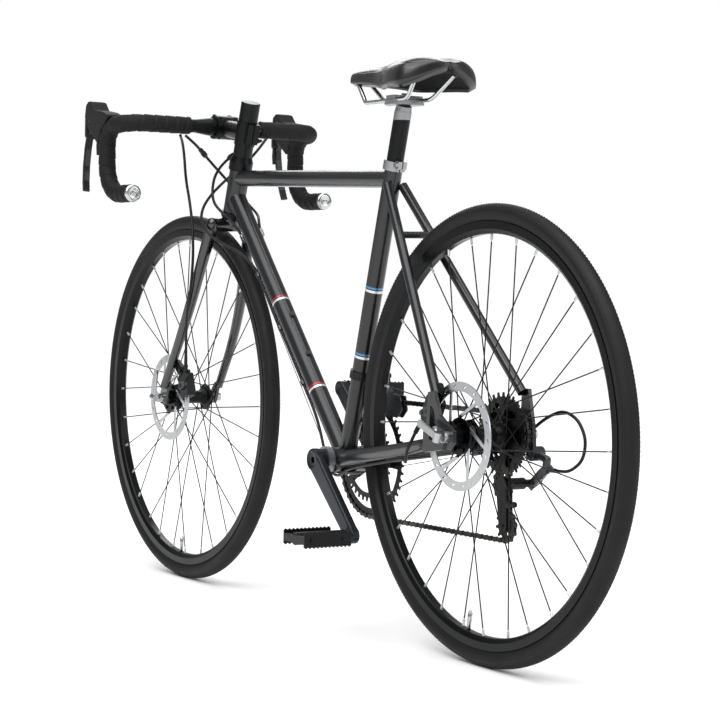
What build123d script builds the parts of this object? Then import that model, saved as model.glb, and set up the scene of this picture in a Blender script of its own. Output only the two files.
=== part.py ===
"""Road bicycle with drop bars and cable disc brakes, as separate pieces in one frame.

Millimetres. +X is forward, +Y is the rider's left and +Z is up. The origin is on the
ground, midway between the two axles.
"""

from build123d import *
import math
import os

os.makedirs("parts", exist_ok=True)

# ------------------------------------------------------------------ driving sizes
# Layout
wheel_radius = 341.0  # ground to axle
wheelbase = 984.8
bb_behind_middle = 90.0
bb_height = 273.0
head_angle = 72.5  # degrees from the ground
seat_angle = 74.8
head_base_x = 323.3  # lower end of the head tube
head_base_height = 686.0
head_tube_length = 77.6
gap = 0.1  # between pieces that seat on each other
running = 0.05  # radial clearance of a turning or sliding fit

# Wheels
tyre_width = 29.0
tyre_wall = 2.0
tube_wall = 1.0  # inner tube
bead_radius = 311.0
rim_flange_radius = 314.4
rim_inner_radius = 296.0
rim_width = 22.4
rim_well_width = 17.2
rim_wall = 1.6
valve_radius = 3.0
valve_length = 46.0
spokes_per_side = 16
spoke_radius = 1.0
spoke_crosses = 3
nipple_radius = 2.0
nipple_length = 9.0
flange_hole_radius = 22.0
flange_radius = 24.2
flange_thickness = 2.8
hub_barrel_radius = 12.0
bearing_radius = 10.0
bearing_width = 7.0
axle_radius = 5.0
skewer_radius = 2.5
lever_skewer_reach = 17.0  # pivot of the lever outside the dropout
lever_barrel_radius = 6.0
front_hub_half = 50.0
rear_hub_half = 67.5
front_flanges = (24.0, -35.0)
rear_flanges = (33.0, -18.5)
rotor_radius = 80.0
rotor_thickness = 1.8
rotor_inset_front = 10.5  # rotor centre from the hub's end face
rotor_inset_rear = 15.3
rotor_bolts = 6
rotor_bolt_circle = 22.0

# Frame tubes
head_tube_radius = 18.2
head_tube_bore = 16.6
top_tube_radius = 14.3
down_tube_radius = 15.9
seat_tube_radius = 14.3
tube_thickness = 0.9
seat_tube_top = 755.0
top_tube_front_height = 745.2
top_tube_rear_height = 726.2
down_tube_front_height = 715.0
bb_shell_radius = 20.0
bb_shell_half = 34.0
bb_cup_radius = 21.5
bb_cup_width = 10.5
dropout_thickness = 6.0
seat_stay_radius = 7.6
stay_top_height = 716.0
chain_stay_half_width = 7.0
chain_stay_half_height = 12.0

# Head parts, as distances along the steering axis from the head tube's lower end
cup_radius = 21.0
upper_cup_height = 26.0
lower_cup_height = 13.0
spacer_radius = 17.0
spacer_height = 10.0
spacers_below = 2
spacers_above = 3
stem_clamp_height = 44.0
steerer_radius = 14.3
top_cap_height = 4.0

# Fork
blade_top_radius = 11.5
blade_tip_radius = 7.5
fork_crown_radius = 12.0
fork_crown_half = 34.0
fork_lug = 5.0

# Cockpit
stem_length = 85.0
stem_rise = 9.5  # degrees above level
bar_clamp_radius = 15.9
bar_radius = 12.0
bar_wall = 2.0
bar_half_width = 195.0
bar_reach = 82.0
bar_drop = 127.0
bar_tail = 30.0  # how far behind the clamp the bar ends
tape_radius = 15.9
tape_start = 72.0  # distance of the tape from the middle
hood_width = 32.0

# Seat
post_radius = 13.6
post_head_height = 831.5
saddle_nose_x = -92.0
saddle_top = 911.0
rail_radius = 3.5
rail_spacing = 44.0
shell_thickness = 3.0
soft_gap = 0.35  # beside a soft solid

# Drivetrain
chain_pitch = 12.7
roller_radius = 3.9
large_ring_teeth = 48
small_ring_teeth = 34
sprockets = (12, 13, 14, 15, 17, 19, 21, 24, 27, 30)
chain_sprocket = 3  # which of them carries the chain, from the smallest
sprocket_pitch = 3.95
cassette_inner_y = -25.2
ring_thickness = 1.8
sprocket_thickness = 1.6
large_ring_y = -47.2
small_ring_y = -40.2
crank_length = 170.0
crank_angle = 39.3  # of the right arm above forward
spindle_radius = 12.0
crank_arm_thickness = 14.0
arm_face = 52.0  # inner faces of the arms at the spindle
arm_flare = 8.0
spider_bolts = 5
spider_bolt_circle = 55.0
pedal_inner_y = 88.0
pedal_length = 66.0
pedal_width = 84.0
pedal_height = 25.0
jockey_teeth = 11
cage_length = 62.0

# ------------------------------------------------------------------ places
wheel_x = wheelbase / 2
rear_axle = Vector(-wheel_x, 0, wheel_radius)
front_axle = Vector(wheel_x, 0, wheel_radius)
bb = Vector(-bb_behind_middle, 0, bb_height)
head_base = Vector(head_base_x, 0, head_base_height)
steer_direction = Vector(-math.cos(math.radians(head_angle)), 0, math.sin(math.radians(head_angle)))
seat_direction = Vector(-math.cos(math.radians(seat_angle)), 0, math.sin(math.radians(seat_angle)))
left, right = 1, -1
across = Vector(0, 1, 0)


def on_steering(distance):
    """A point on the steering axis, measured up from the head tube's lower end."""
    return head_base + steer_direction * distance


def on_steering_at(height):
    return on_steering((height - head_base.Z) / steer_direction.Z)


def on_seat_tube(height):
    """The point on the seat tube's axis at a height above the ground."""
    return bb + seat_direction * ((height - bb.Z) / seat_direction.Z)


def at_side(point, y):
    return Vector(point.X, y, point.Z)


# ------------------------------------------------------------------ shape helpers
def save(name, *solids):
    """Write one node, as a group when it has several solids."""
    flat = [s for part in solids for s in part.solids()]
    export_step(Compound(flat), f"parts/{name}.step")


def rod(start, end, radius, end_radius=None, bore=0.0):
    """A round bar between two points, tapered when end_radius is given."""
    along = end - start
    place = Plane(origin=start, z_dir=along)
    low = (Align.CENTER, Align.CENTER, Align.MIN)
    if end_radius is None or end_radius == radius:
        bar = Cylinder(radius, along.length, align=low)
    else:
        bar = Cone(radius, end_radius, along.length, align=low)
    if bore:
        bar -= Cylinder(bore, along.length, align=low)
    return place * bar


def turned(centre, outline, *hollows):
    """A solid of revolution about a line along Y, from (radius, y) corners."""
    face = make_face(Polyline(*outline, close=True))
    for hollow in hollows:
        face -= make_face(Polyline(*hollow, close=True))
    return Pos(*centre) * revolve(face, Axis.Y, 360)


def washer(centre, radius, bore, y_low, y_high):
    """A ring about a line along Y."""
    outline = [(bore, y_low), (radius, y_low), (radius, y_high), (bore, y_high)]
    return turned(Vector(centre.X, 0, centre.Z), outline)


def disc(centre, radius, y_low, y_high):
    """A plain round bar along Y."""
    return rod(at_side(centre, y_low), at_side(centre, y_high), radius)


def plate(outline, y_low, y_high, fillet_radius=0.0):
    """A flat plate of (x, z) corners between two values of Y."""
    face = make_face(Polyline(*[(x, z) for x, z in outline], close=True))
    if fillet_radius:
        face = fillet(face.vertices(), fillet_radius)
    solid = extrude(face, y_high - y_low)
    return Pos(0, y_high, 0) * Rot(90, 0, 0) * solid


def link_plate(start, end, radius, end_radius, y_low, y_high):
    """A plate with two round ends, between two points of a side plane."""
    outline = Pos(start.X, start.Z) * Circle(radius) + Pos(end.X, end.Z) * Circle(end_radius)
    face = make_hull(outline.edges())
    return Pos(0, y_high, 0) * Rot(90, 0, 0) * extrude(face, y_high - y_low)


def pipe(points, radii, radius, bore=0.0):
    """A round pipe along straight runs joined by tangent arcs."""
    path = FilletPolyline(*points, radius=radii) if radii else Polyline(*points)
    section = Circle(radius)
    if bore:
        section -= Circle(bore)
    start = Plane(origin=path @ 0, z_dir=path % 0)
    return sweep(start * section, path)


def arc_radii(points, share=0.45):
    """The radius at each inner point that the two runs beside it leave room for."""
    radii = []
    for before, here, after in zip(points, points[1:], points[2:]):
        first = here - before
        second = after - here
        half_turn = math.radians(first.get_angle(second)) / 2
        radii.append(share * min(first.length, second.length) / math.tan(half_turn))
    return radii


def cable(points, radius):
    """A cable along its route, with arcs as large as its runs allow."""
    route = [Vector(*p) for p in points]
    radii = arc_radii(route)
    path = FilletPolyline(*route, radius=radii)
    solid = sweep(Plane(origin=path @ 0, z_dir=path % 0) * Circle(radius), path)
    ideal = math.pi * radius**2 * path.length
    print(f"cable of {path.length:.0f} mm, smallest arc {min(radii):.0f} mm, "
          f"volume {solid.volume / ideal:.4f} of ideal")
    return solid


def mirrored(solid):
    return mirror(solid, Plane.XZ)


# ------------------------------------------------------------------ wheels
tube_centre_radius = wheel_radius - tyre_width / 2


def tyre(centre):
    """A clincher tyre: a round shell that narrows to two beads inside the rim."""
    half = tyre_width / 2
    bead_half = rim_well_width / 2 - 0.2
    skin = Circle(half) - Circle(half - tyre_wall)
    leg_height = math.sqrt(half**2 - bead_half**2)
    mouth = Pos(-half, 0) * Rectangle(half, 2 * (bead_half - tyre_wall))
    low_end = bead_radius + 2 * running - tube_centre_radius
    high_end = -leg_height + tyre_wall
    leg = Pos((low_end + high_end) / 2, 0) * Rectangle(high_end - low_end, tyre_wall)
    face = skin - mouth
    for side in (left, right):
        face += Pos(0, side * (bead_half - tyre_wall / 2)) * leg
    shell = revolve(Pos(tube_centre_radius, 0) * face, Axis.Y, 360)
    return Pos(*centre) * shell


def inner_tube(centre, valve_angle):
    """A rubber tube with its valve through the rim at an angle around the wheel."""
    outer = tyre_width / 2 - tyre_wall - 0.3
    ring = Circle(outer) - Circle(outer - tube_wall)
    tube = revolve(Pos(tube_centre_radius, 0) * ring, Axis.Y, 360)
    seat = tube_centre_radius - outer + tube_wall / 2
    valve = rod(Vector(seat, 0, 0), Vector(seat - valve_length, 0, 0), valve_radius)
    return Pos(*centre) * Rot(0, -valve_angle, 0) * (tube + valve)


def rim(centre, valve_angle):
    """A hollow box rim with a well for the beads and a hole for the valve."""
    half = rim_width / 2
    well = rim_well_width / 2
    bed = bead_radius
    shoulder = rim_inner_radius + 7.0
    crown_half = 5.5
    outline = [
        (rim_flange_radius, half),
        (shoulder, half),
        (rim_inner_radius + rim_wall, crown_half + 2.0),
        (rim_inner_radius, crown_half),
        (rim_inner_radius, -crown_half),
        (rim_inner_radius + rim_wall, -crown_half - 2.0),
        (shoulder, -half),
        (rim_flange_radius, -half),
        (rim_flange_radius, -well),
        (bed, -well),
        (bed, well),
        (rim_flange_radius, well),
    ]
    chamber = [
        (bed - rim_wall, half - rim_wall),
        (shoulder + rim_wall / 2, half - rim_wall),
        (rim_inner_radius + rim_wall, crown_half - rim_wall / 2),
        (rim_inner_radius + rim_wall, -crown_half + rim_wall / 2),
        (shoulder + rim_wall / 2, -half + rim_wall),
        (bed - rim_wall, -half + rim_wall),
    ]
    ring = turned(Vector(0, 0, 0), outline, chamber)
    hole = rod(Vector(bed + 5, 0, 0), Vector(rim_inner_radius - 5, 0, 0), valve_radius + 0.3)
    return Pos(*centre) * Rot(0, -valve_angle, 0) * (ring - hole)


def spokes(centre, flanges):
    """Crossed spokes with elbows through the flanges, and their nipples at the rim.

    On each side every second spoke leads and the others trail. Leading spokes run outside
    the flange and trailing ones inside it, so that they pass each other.
    """
    hole_step = 360 / spokes_per_side
    lean = spoke_crosses * hole_step
    nipple_seat = rim_inner_radius - 0.4
    parts = []
    for side, flange_y in zip((left, right), flanges):
        side_turn = 0 if side == left else hole_step / 2
        for way in (1, -1):
            outside = side * way
            stand_off = flange_thickness / 2 + spoke_radius + (0.9 if way > 0 else running)
            elbow = Vector(flange_hole_radius, flange_y + outside * stand_off, 0)
            turn = math.radians(way * lean)
            seat = Vector(nipple_seat * math.cos(turn), side * 1.5, nipple_seat * math.sin(turn))
            along = (seat - elbow).normalized()
            neck = seat - along * nipple_length
            head_y = flange_y - outside * (flange_thickness / 2 + running)
            hole_point = at_side(elbow, head_y)
            spoke = rod(elbow, neck, spoke_radius) + Pos(*elbow) * Sphere(spoke_radius)
            spoke += rod(elbow, hole_point, spoke_radius)
            spoke += rod(hole_point, at_side(elbow, head_y - outside), 1.8 * spoke_radius)
            nipple = rod(neck, seat, nipple_radius)
            start = side_turn + (0 if way > 0 else hole_step)
            for n in range(spokes_per_side // 2):
                place = Pos(*centre) * Rot(0, -(start + n * 2 * hole_step), 0)
                parts += [place * spoke, place * nipple]
    return parts


def hub(centre, flanges, rotor_y, end_left, end_right):
    """A hub shell with spoke holes, a seat for the rotor and its two bearings."""
    half_flange = flange_thickness / 2
    seat_y = rotor_y - rotor_thickness / 2
    bore = axle_radius + 3.0
    flange_root = flange_hole_radius - 3.5
    left_y, right_y = flanges
    outline = [
        (bore, end_left),
        (bearing_radius + 3, end_left),
        (bearing_radius + 3, seat_y),
        (rotor_bolt_circle + 4, seat_y),
        (rotor_bolt_circle + 4, seat_y - 3.5),
        (hub_barrel_radius + 4, left_y + half_flange + 3.0),
        (flange_root, left_y + half_flange),
        (flange_radius, left_y + half_flange),
        (flange_radius, left_y - half_flange),
        (flange_root, left_y - half_flange),
        (hub_barrel_radius + 3, left_y - half_flange - 2),
        (hub_barrel_radius, left_y - half_flange - 10),
        (hub_barrel_radius, right_y + half_flange + 10),
        (hub_barrel_radius + 3, right_y + half_flange + 2),
        (flange_root, right_y + half_flange),
        (flange_radius, right_y + half_flange),
        (flange_radius, right_y - half_flange),
        (flange_root, right_y - half_flange),
        (bearing_radius + 3, right_y - half_flange - 1),
        (bearing_radius + 3, end_right),
        (bore, end_right),
    ]
    shell = turned(Vector(0, 0, 0), outline)
    for end_y, inward in ((end_left, -1), (end_right, 1)):
        inner_y = end_y + inward * bearing_width
        shell -= rod(Vector(0, end_y, 0), Vector(0, inner_y, 0), bearing_radius)
    hole = Cylinder(spoke_radius + 0.3, flange_thickness + 1, rotation=(90, 0, 0))
    for n in range(spokes_per_side):
        for flange_y, half_turn in ((left_y, 0), (right_y, 0.5)):
            angle = (n + half_turn) * 360 / spokes_per_side
            shell -= Rot(0, -angle, 0) * Pos(flange_hole_radius, flange_y, 0) * hole
    bearings = []
    for end_y, inward in ((end_left, -1), (end_right, 1)):
        y_values = sorted((end_y, end_y + inward * bearing_width))
        bearings.append(
            washer(Vector(0, 0, 0), bearing_radius - running, axle_radius + running, *y_values)
        )
    return [Pos(*centre) * part for part in [shell, *bearings]]


def rotor(centre, rotor_y):
    """A disc brake rotor: a slotted ring on curved arms, and its six bolts."""
    ring_inner = rotor_radius - 14.0
    middle_radius = rotor_bolt_circle + 5.5
    face = Circle(rotor_radius) - Circle(ring_inner)
    face += Circle(middle_radius) - Circle(bearing_radius + 3 + gap)
    arm_span = ring_inner - middle_radius + 4
    arm_middle = (ring_inner + middle_radius) / 2
    for n in range(rotor_bolts):
        arm = Pos(arm_middle, 0) * Rot(0, 0, 32) * Rectangle(arm_span + 9, 5.0)
        face += Rot(0, 0, n * 360 / rotor_bolts) * arm
    face &= Circle(rotor_radius)
    slots = 18
    for n in range(slots):
        slot = Pos(rotor_radius - 7, 0) * Rot(0, 0, 55) * SlotOverall(9.0, 2.4)
        face -= Rot(0, 0, n * 360 / slots) * slot
    flat = extrude(face, rotor_thickness)
    solid = Pos(0, rotor_thickness / 2, 0) * Rot(90, 0, 0) * flat
    bolt_low = rotor_y + rotor_thickness / 2 + gap / 2
    bolts = []
    for n in range(rotor_bolts):
        angle = math.radians(n * 360 / rotor_bolts)
        x, z = rotor_bolt_circle * math.cos(angle), rotor_bolt_circle * math.sin(angle)
        bolts.append(rod(Vector(x, bolt_low, z), Vector(x, bolt_low + 2.0, z), 3.2))
    place = Pos(*centre)
    return [place * Pos(0, rotor_y, 0) * solid] + [place * bolt for bolt in bolts]


def wheel_axle(centre, half, lug):
    """The fixed axle with locknuts, the skewer through it and the skewer's two ends.

    half is where the dropouts' inner faces stand, and lug their thickness.
    """
    end = half + lug - 1.0
    axle = rod(Vector(0, -end, 0), Vector(0, end, 0), axle_radius, bore=skewer_radius + 0.3)
    outer = half + lug + gap
    skewer_end = outer + lever_skewer_reach - lever_barrel_radius - gap
    skewer = rod(Vector(0, -outer - 12, 0), Vector(0, skewer_end, 0), skewer_radius)
    nut = washer(Vector(0, 0, 0), 8.0, skewer_radius + gap, -outer - 10, -outer)
    cam = washer(Vector(0, 0, 0), 9.0, skewer_radius + gap, outer, outer + 9)
    parts = [axle, skewer, nut, cam]
    for side in (left, right):
        y_values = sorted((side * (half - gap), side * (half - 4.0)))
        parts.append(washer(Vector(0, 0, 0), 8.5, axle_radius + gap, *y_values))
    return [Pos(*centre) * part for part in parts]


def quick_release_lever(centre, half, lug, pointing):
    """The cam lever, closed along the direction that pointing gives in degrees above forward."""
    pivot_y = half + lug + gap + lever_skewer_reach
    pivot = Vector(0, pivot_y, 0)
    barrel = Cylinder(lever_barrel_radius, 15.0)
    blade = Pos(0, 0, 27) * Box(4.0, 12.0, 42.0)
    blade = fillet(blade.edges().filter_by(Axis.Z), 1.5)
    tip = Pos(0, 0, 48) * Cylinder(6.0, 4.0, rotation=(0, 90, 0))
    neck = Pos(0, 0, 6) * Box(4.0, 8.0, 14.0)
    lever = Rot(0, 90, 0) * barrel + Rot(0, 0, 90) * (blade + tip + neck)
    return Pos(*centre) * Rot(0, 90 - pointing, 0) * Pos(*pivot) * lever


valve_angles = {"front": -86.0, "rear": -82.0}
front_end = front_hub_half - 4.0 - running
rear_end_left = rear_hub_half - 4.0 - running
rear_end_right = rear_flanges[1] - flange_thickness / 2 - 2.5
front_rotor_y = front_hub_half - rotor_inset_front
rear_rotor_y = rear_hub_half - rotor_inset_rear

for name, centre in (("front", front_axle), ("rear", rear_axle)):
    angle = valve_angles[name]
    save(f"{name}_tyre", tyre(centre), inner_tube(centre, angle))
    save(f"{name}_rim", rim(centre, angle))
save("front_spokes", *spokes(front_axle, front_flanges))
save("rear_spokes", *spokes(rear_axle, rear_flanges))
save("front_hub", *hub(front_axle, front_flanges, front_rotor_y, front_end, -front_end))
save("rear_hub", *hub(rear_axle, rear_flanges, rear_rotor_y, rear_end_left, rear_end_right))
save("front_rotor", *rotor(front_axle, front_rotor_y))
save("rear_rotor", *rotor(rear_axle, rear_rotor_y))
save("front_axle", *wheel_axle(front_axle, front_hub_half, fork_lug))
save("rear_axle", *wheel_axle(rear_axle, rear_hub_half, dropout_thickness))
save("front_quick_release", quick_release_lever(front_axle, front_hub_half, fork_lug, 100))
save("rear_quick_release", quick_release_lever(rear_axle, rear_hub_half, dropout_thickness, 20))


# ------------------------------------------------------------------ frame
def tube_blank(start, end, radius, overrun=0.0):
    """A solid bar used to cut the tubes that meet it."""
    along = (end - start).normalized() * overrun
    return rod(start - along, end + along, radius)


head_top = on_steering(head_tube_length)
seat_top = on_seat_tube(seat_tube_top)
top_tube_front = on_steering_at(top_tube_front_height)
top_tube_rear = on_seat_tube(top_tube_rear_height)
down_tube_front = on_steering_at(down_tube_front_height)
bb_left = at_side(bb, bb_shell_half)
bb_right = at_side(bb, -bb_shell_half)

head_blank = tube_blank(head_base, head_top, head_tube_radius + gap / 2, overrun=15)
head_blank += rod(head_top, on_steering(head_tube_length + upper_cup_height), cup_radius + gap)
seat_blank = tube_blank(bb, seat_top, seat_tube_radius + gap / 2)
top_blank = tube_blank(top_tube_rear, top_tube_front, top_tube_radius + gap / 2)
down_blank = tube_blank(bb, down_tube_front, down_tube_radius + gap / 2)
shell_blank = tube_blank(bb_right, bb_left, bb_shell_radius + gap / 2)

head_tube = rod(head_base, head_top, head_tube_radius, bore=head_tube_bore)
seat_tube = rod(bb, seat_top, seat_tube_radius, bore=post_radius + running) - shell_blank
top_tube = rod(top_tube_rear, top_tube_front, top_tube_radius, bore=top_tube_radius - tube_thickness)
top_tube -= head_blank + seat_blank
down_tube = rod(bb, down_tube_front, down_tube_radius, bore=down_tube_radius - tube_thickness)
down_tube -= head_blank + top_blank + seat_blank + shell_blank
down_tube = down_tube.solids().sort_by(SortBy.VOLUME)[-1]
top_tube = top_tube.solids().sort_by(SortBy.VOLUME)[-1]
bb_shell = rod(bb_right, bb_left, bb_shell_radius, bore=bb_shell_radius - 3.0)

save("head_tube", head_tube)
save("seat_tube", seat_tube)
save("top_tube", top_tube)
save("down_tube", down_tube)
save("bottom_bracket_shell", bb_shell)

axle_x, axle_z = rear_axle.X, rear_axle.Z
hanger = Vector(axle_x - 9.0, 0, axle_z - 28.0)
stay_foot = {left: Vector(axle_x + 45.0, 63.0, axle_z + 58.0),
             right: Vector(axle_x + 5.0, -63.0, axle_z + 62.0)}
plate_front = axle_x + 64.0
slot_lean = 20  # degrees the axle slots lean forward


def dropout(side):
    """A flat plate that joins the two stays and holds the axle in an open slot."""
    foot = stay_foot[side]
    inner = side * rear_hub_half
    y_low, y_high = sorted((inner, inner + side * dropout_thickness))
    lower_front = [(plate_front, axle_z - 28), (plate_front, axle_z + 2)]
    if side == left:
        upper = [(plate_front - 8, axle_z + 14), (foot.X + 8, foot.Z + 4), (foot.X - 8, foot.Z + 6),
                 (axle_x + 22, axle_z + 30), (axle_x, axle_z + 17)]
        back = [(axle_x - 15, axle_z + 9), (axle_x - 16, axle_z - 8), (axle_x - 6, axle_z - 18)]
    else:
        upper = [(plate_front - 18, axle_z + 8), (foot.X + 9, axle_z + 22),
                 (foot.X + 8, foot.Z + 6), (foot.X - 8, foot.Z + 6)]
        back = [(axle_x - 15, axle_z + 18), (axle_x - 18, axle_z - 6),
                (hanger.X - 10, hanger.Z - 2), (hanger.X - 4, hanger.Z - 11),
                (hanger.X + 7, hanger.Z - 8), (axle_x + 2, axle_z - 20)]
    lower = [(axle_x + 25, axle_z - 22)]
    solid = plate(lower_front + upper + back + lower, y_low, y_high, 1.5)
    slot = Box(2 * (axle_radius + gap), 3 * dropout_thickness, 40, align=(Align.CENTER, Align.CENTER, Align.MAX))
    place = Pos(axle_x, inner, axle_z)
    solid -= place * Rot(0, -slot_lean, 0) * slot
    solid -= place * Cylinder(axle_radius + gap, 3 * dropout_thickness, rotation=(90, 0, 0))
    if side == left:
        window = [(foot.X + 1, foot.Z - 14), (foot.X - 8, foot.Z - 20),
                  (axle_x + 26, axle_z + 8), (axle_x + 30, axle_z - 8), (plate_front - 16, axle_z - 8)]
        solid -= plate(window, y_low - 1, y_high + 1, 2.0)
    else:
        hole = Cylinder(axle_radius + gap, 3 * dropout_thickness, rotation=(90, 0, 0))
        solid -= Pos(hanger.X, inner, hanger.Z) * hole
    return solid.solids().sort_by(SortBy.VOLUME)[-1]


dropouts = {side: dropout(side) for side in (left, right)}
seat_stay_top = on_seat_tube(stay_top_height) - Vector(12, 0, 0)


def seat_stay(side):
    """A stay from the side of the seat tube to the dropout, slotted over its plate."""
    start = at_side(seat_stay_top, side * 14.0)
    stay = rod(start, stay_foot[side], seat_stay_radius, bore=seat_stay_radius - 1.0)
    stay -= seat_blank
    stay -= dropouts[side]
    return stay.solids().sort_by(SortBy.VOLUME)[-1]


def chain_stay(side):
    """An oval stay that bends out around the tyre."""
    stations = [
        (bb.X - 12, 23.0, bb.Z + 2, chain_stay_half_width, chain_stay_half_height),
        (bb.X - 78, 30.0, bb.Z + 11, chain_stay_half_width, chain_stay_half_height),
        (bb.X - 200, 45.0, bb.Z + 29, chain_stay_half_width, chain_stay_half_height - 1),
        (plate_front - 14, 65.0, axle_z - 13, chain_stay_half_width - 0.5, chain_stay_half_height - 3),
    ]
    outer = [Plane(origin=(x, side * y, z), x_dir=(0, 1, 0), z_dir=(-1, 0, 0)) * Ellipse(w, h)
             for x, y, z, w, h in stations]
    inner = [Plane(origin=(x, side * y, z), x_dir=(0, 1, 0), z_dir=(-1, 0, 0)) * Ellipse(w - 1.2, h - 1.2)
             for x, y, z, w, h in stations]
    stay = loft(outer) - loft(inner)
    stay -= shell_blank + seat_blank + down_blank
    stay -= dropouts[side]
    return stay.solids().sort_by(SortBy.VOLUME)[-1]


seat_stays = [seat_stay(side) for side in (left, right)]
chain_stays = [chain_stay(side) for side in (left, right)]


def nearest_middle(bar):
    """The piece of a cut bar that lies between the stays."""
    return bar.solids().sort_by(lambda solid: abs(solid.center().Y))[0]


def stay_bridges():
    """A round bridge between the seat stays and another between the chain stays."""
    share = 0.25
    ends = [at_side(seat_stay_top, side * 14.0) * (1 - share) + stay_foot[side] * share
            for side in (left, right)]
    upper = rod(*ends, 5.5)
    for stay in seat_stays:
        upper -= stay
    behind = Vector(bb.X - 43, 0, bb.Z + 6)
    lower = rod(at_side(behind, -26), at_side(behind, 26), 6.0)
    for stay in chain_stays:
        lower -= stay
    return [nearest_middle(upper), nearest_middle(lower)]


save("dropouts", *dropouts.values())
save("stays", *seat_stays, *chain_stays, *stay_bridges())

down_direction = (down_tube_front - bb).normalized()
down_normal = Vector(-down_direction.Z, 0, down_direction.X)


def tube_bolt(axis_point, normal, tube_radius):
    """A threaded boss on a tube with a button head bolt in it, along the tube's normal."""
    base = axis_point + normal * (tube_radius + gap)
    boss = rod(base, base + normal * 1.6, 5.5)
    bolt = rod(base + normal * (1.6 + gap), base + normal * (4.4 + gap), 4.0)
    return [boss, bolt]


def seat_collar():
    """A band with a cross bolt behind it that grips the post."""
    low = on_seat_tube(seat_tube_top - 14.5)
    top = on_seat_tube(seat_tube_top)
    band = rod(low, top, seat_tube_radius + 3.4)
    middle = (low + top) * 0.5
    ear_centre = middle - Vector(seat_tube_radius + 5.0, 0, 1.0)
    tilt = Rot(0, -(90 - seat_angle), 0)
    band += Pos(*ear_centre) * tilt * Box(10, 16, 12)
    band -= rod(low - seat_direction * 9, top + seat_direction * 9, seat_tube_radius + gap)
    band -= Pos(*ear_centre) * tilt * Box(24, 2.0, 30)
    bolt_line = ear_centre - Vector(1.0, 0, 0)
    hole = rod(at_side(bolt_line, -20), at_side(bolt_line, 20), 2.7)
    band -= hole
    bolt = rod(at_side(bolt_line, -8.1), at_side(bolt_line, 8.1), 2.5)
    bolt += rod(at_side(bolt_line, 8.1), at_side(bolt_line, 12.5), 4.2)
    return [band, bolt]


fittings = []
for height in (430.0, 494.0):
    along = (height - bb.Z) / down_direction.Z
    fittings += tube_bolt(bb + down_direction * along, down_normal, down_tube_radius)
seat_normal = Vector(seat_direction.Z, 0, -seat_direction.X)
for height in (470.0, 534.0):
    fittings += tube_bolt(on_seat_tube(height), seat_normal, seat_tube_radius)
fittings += seat_collar()

upper_cup = rod(on_steering(head_tube_length + gap), on_steering(head_tube_length + 16), cup_radius)
upper_cup += rod(on_steering(head_tube_length + 16), on_steering(head_tube_length + upper_cup_height),
                 cup_radius, spacer_radius + 0.5)
lower_cup = rod(on_steering(-gap), on_steering(-lower_cup_height + 4), cup_radius)
lower_cup += rod(on_steering(-lower_cup_height + 4), on_steering(-lower_cup_height), cup_radius, 19.0)
cup_bore = rod(on_steering(-60), on_steering(260), steerer_radius + 0.7)
cups = [upper_cup - cup_bore, lower_cup - cup_bore]
for side in (left, right):
    y_values = sorted((side * (bb_shell_half + gap), side * (bb_shell_half + bb_cup_width)))
    cup = washer(bb, bb_cup_radius, spindle_radius + running, *y_values)
    cups.append(cup)
save("bearing_cups", *cups)

# ------------------------------------------------------------------ fork and head parts
crown_centre = on_steering(-lower_cup_height - 0.3 - fork_crown_radius)
spacer_start = head_tube_length + upper_cup_height + gap
stem_low = spacer_start + spacers_below * spacer_height + gap
stem_high = stem_low + stem_clamp_height
upper_start = stem_high + gap
steerer_top = upper_start + spacers_above * spacer_height - 2.0


def fork():
    """A steerer with its crown, two blades that curve forward and two dropouts."""
    steerer = rod(crown_centre, on_steering(steerer_top), steerer_radius, bore=steerer_radius - 2.0)
    crown = rod(at_side(crown_centre, -fork_crown_half), at_side(crown_centre, fork_crown_half),
                fork_crown_radius)
    race = rod(on_steering(-lower_cup_height - 3.0), on_steering(-lower_cup_height - 0.2), 18.5)
    body = steerer + crown + race
    parts = []
    for side in (left, right):
        cx, cz = crown_centre.X, crown_centre.Z
        route = [
            Vector(cx, side * (fork_crown_half + 4), cz + 1),
            Vector(cx + 53, side * 51.0, cz - 140),
            Vector(cx + 93, side * 55.5, cz - 217),
            Vector(front_axle.X - 13, side * 57.0, front_axle.Z + 21),
        ]
        path = FilletPolyline(*route, radius=arc_radii(route))
        start = Plane(origin=path @ 0, z_dir=path % 0)
        finish = Plane(origin=path @ 1, z_dir=path % 1)
        blade = sweep([start * Circle(blade_top_radius), finish * Circle(blade_tip_radius)], path,
                      multisection=True)
        blade += Pos(*route[0]) * Sphere(blade_top_radius)
        inner = side * front_hub_half
        y_low, y_high = sorted((inner, inner + side * fork_lug))
        lug = link_plate(front_axle, route[-1], 13.0, 8.0, y_low, y_high)
        slot = Box(2 * (axle_radius + gap), 30, 40, align=(Align.CENTER, Align.CENTER, Align.MAX))
        lug -= Pos(front_axle.X, inner, front_axle.Z) * slot
        lug -= Pos(front_axle.X, inner, front_axle.Z) * Cylinder(axle_radius + gap, 30, rotation=(90, 0, 0))
        blade -= body
        blade -= lug
        parts += [blade.solids().sort_by(SortBy.VOLUME)[-1], lug]
    return [body, *parts]


save("fork", *fork())

spacer_parts = []
for start, count in ((spacer_start, spacers_below), (upper_start, spacers_above)):
    for n in range(count):
        low = start + n * spacer_height
        spacer_parts.append(rod(on_steering(low), on_steering(low + spacer_height - gap), spacer_radius,
                                bore=steerer_radius + gap))
cap_low = upper_start + spacers_above * spacer_height
cap = rod(on_steering(cap_low), on_steering(cap_low + top_cap_height - 1), spacer_radius)
cap += rod(on_steering(cap_low + top_cap_height - 1), on_steering(cap_low + top_cap_height),
           spacer_radius, spacer_radius - 1)
save("headset_spacers", *spacer_parts, cap)

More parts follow.
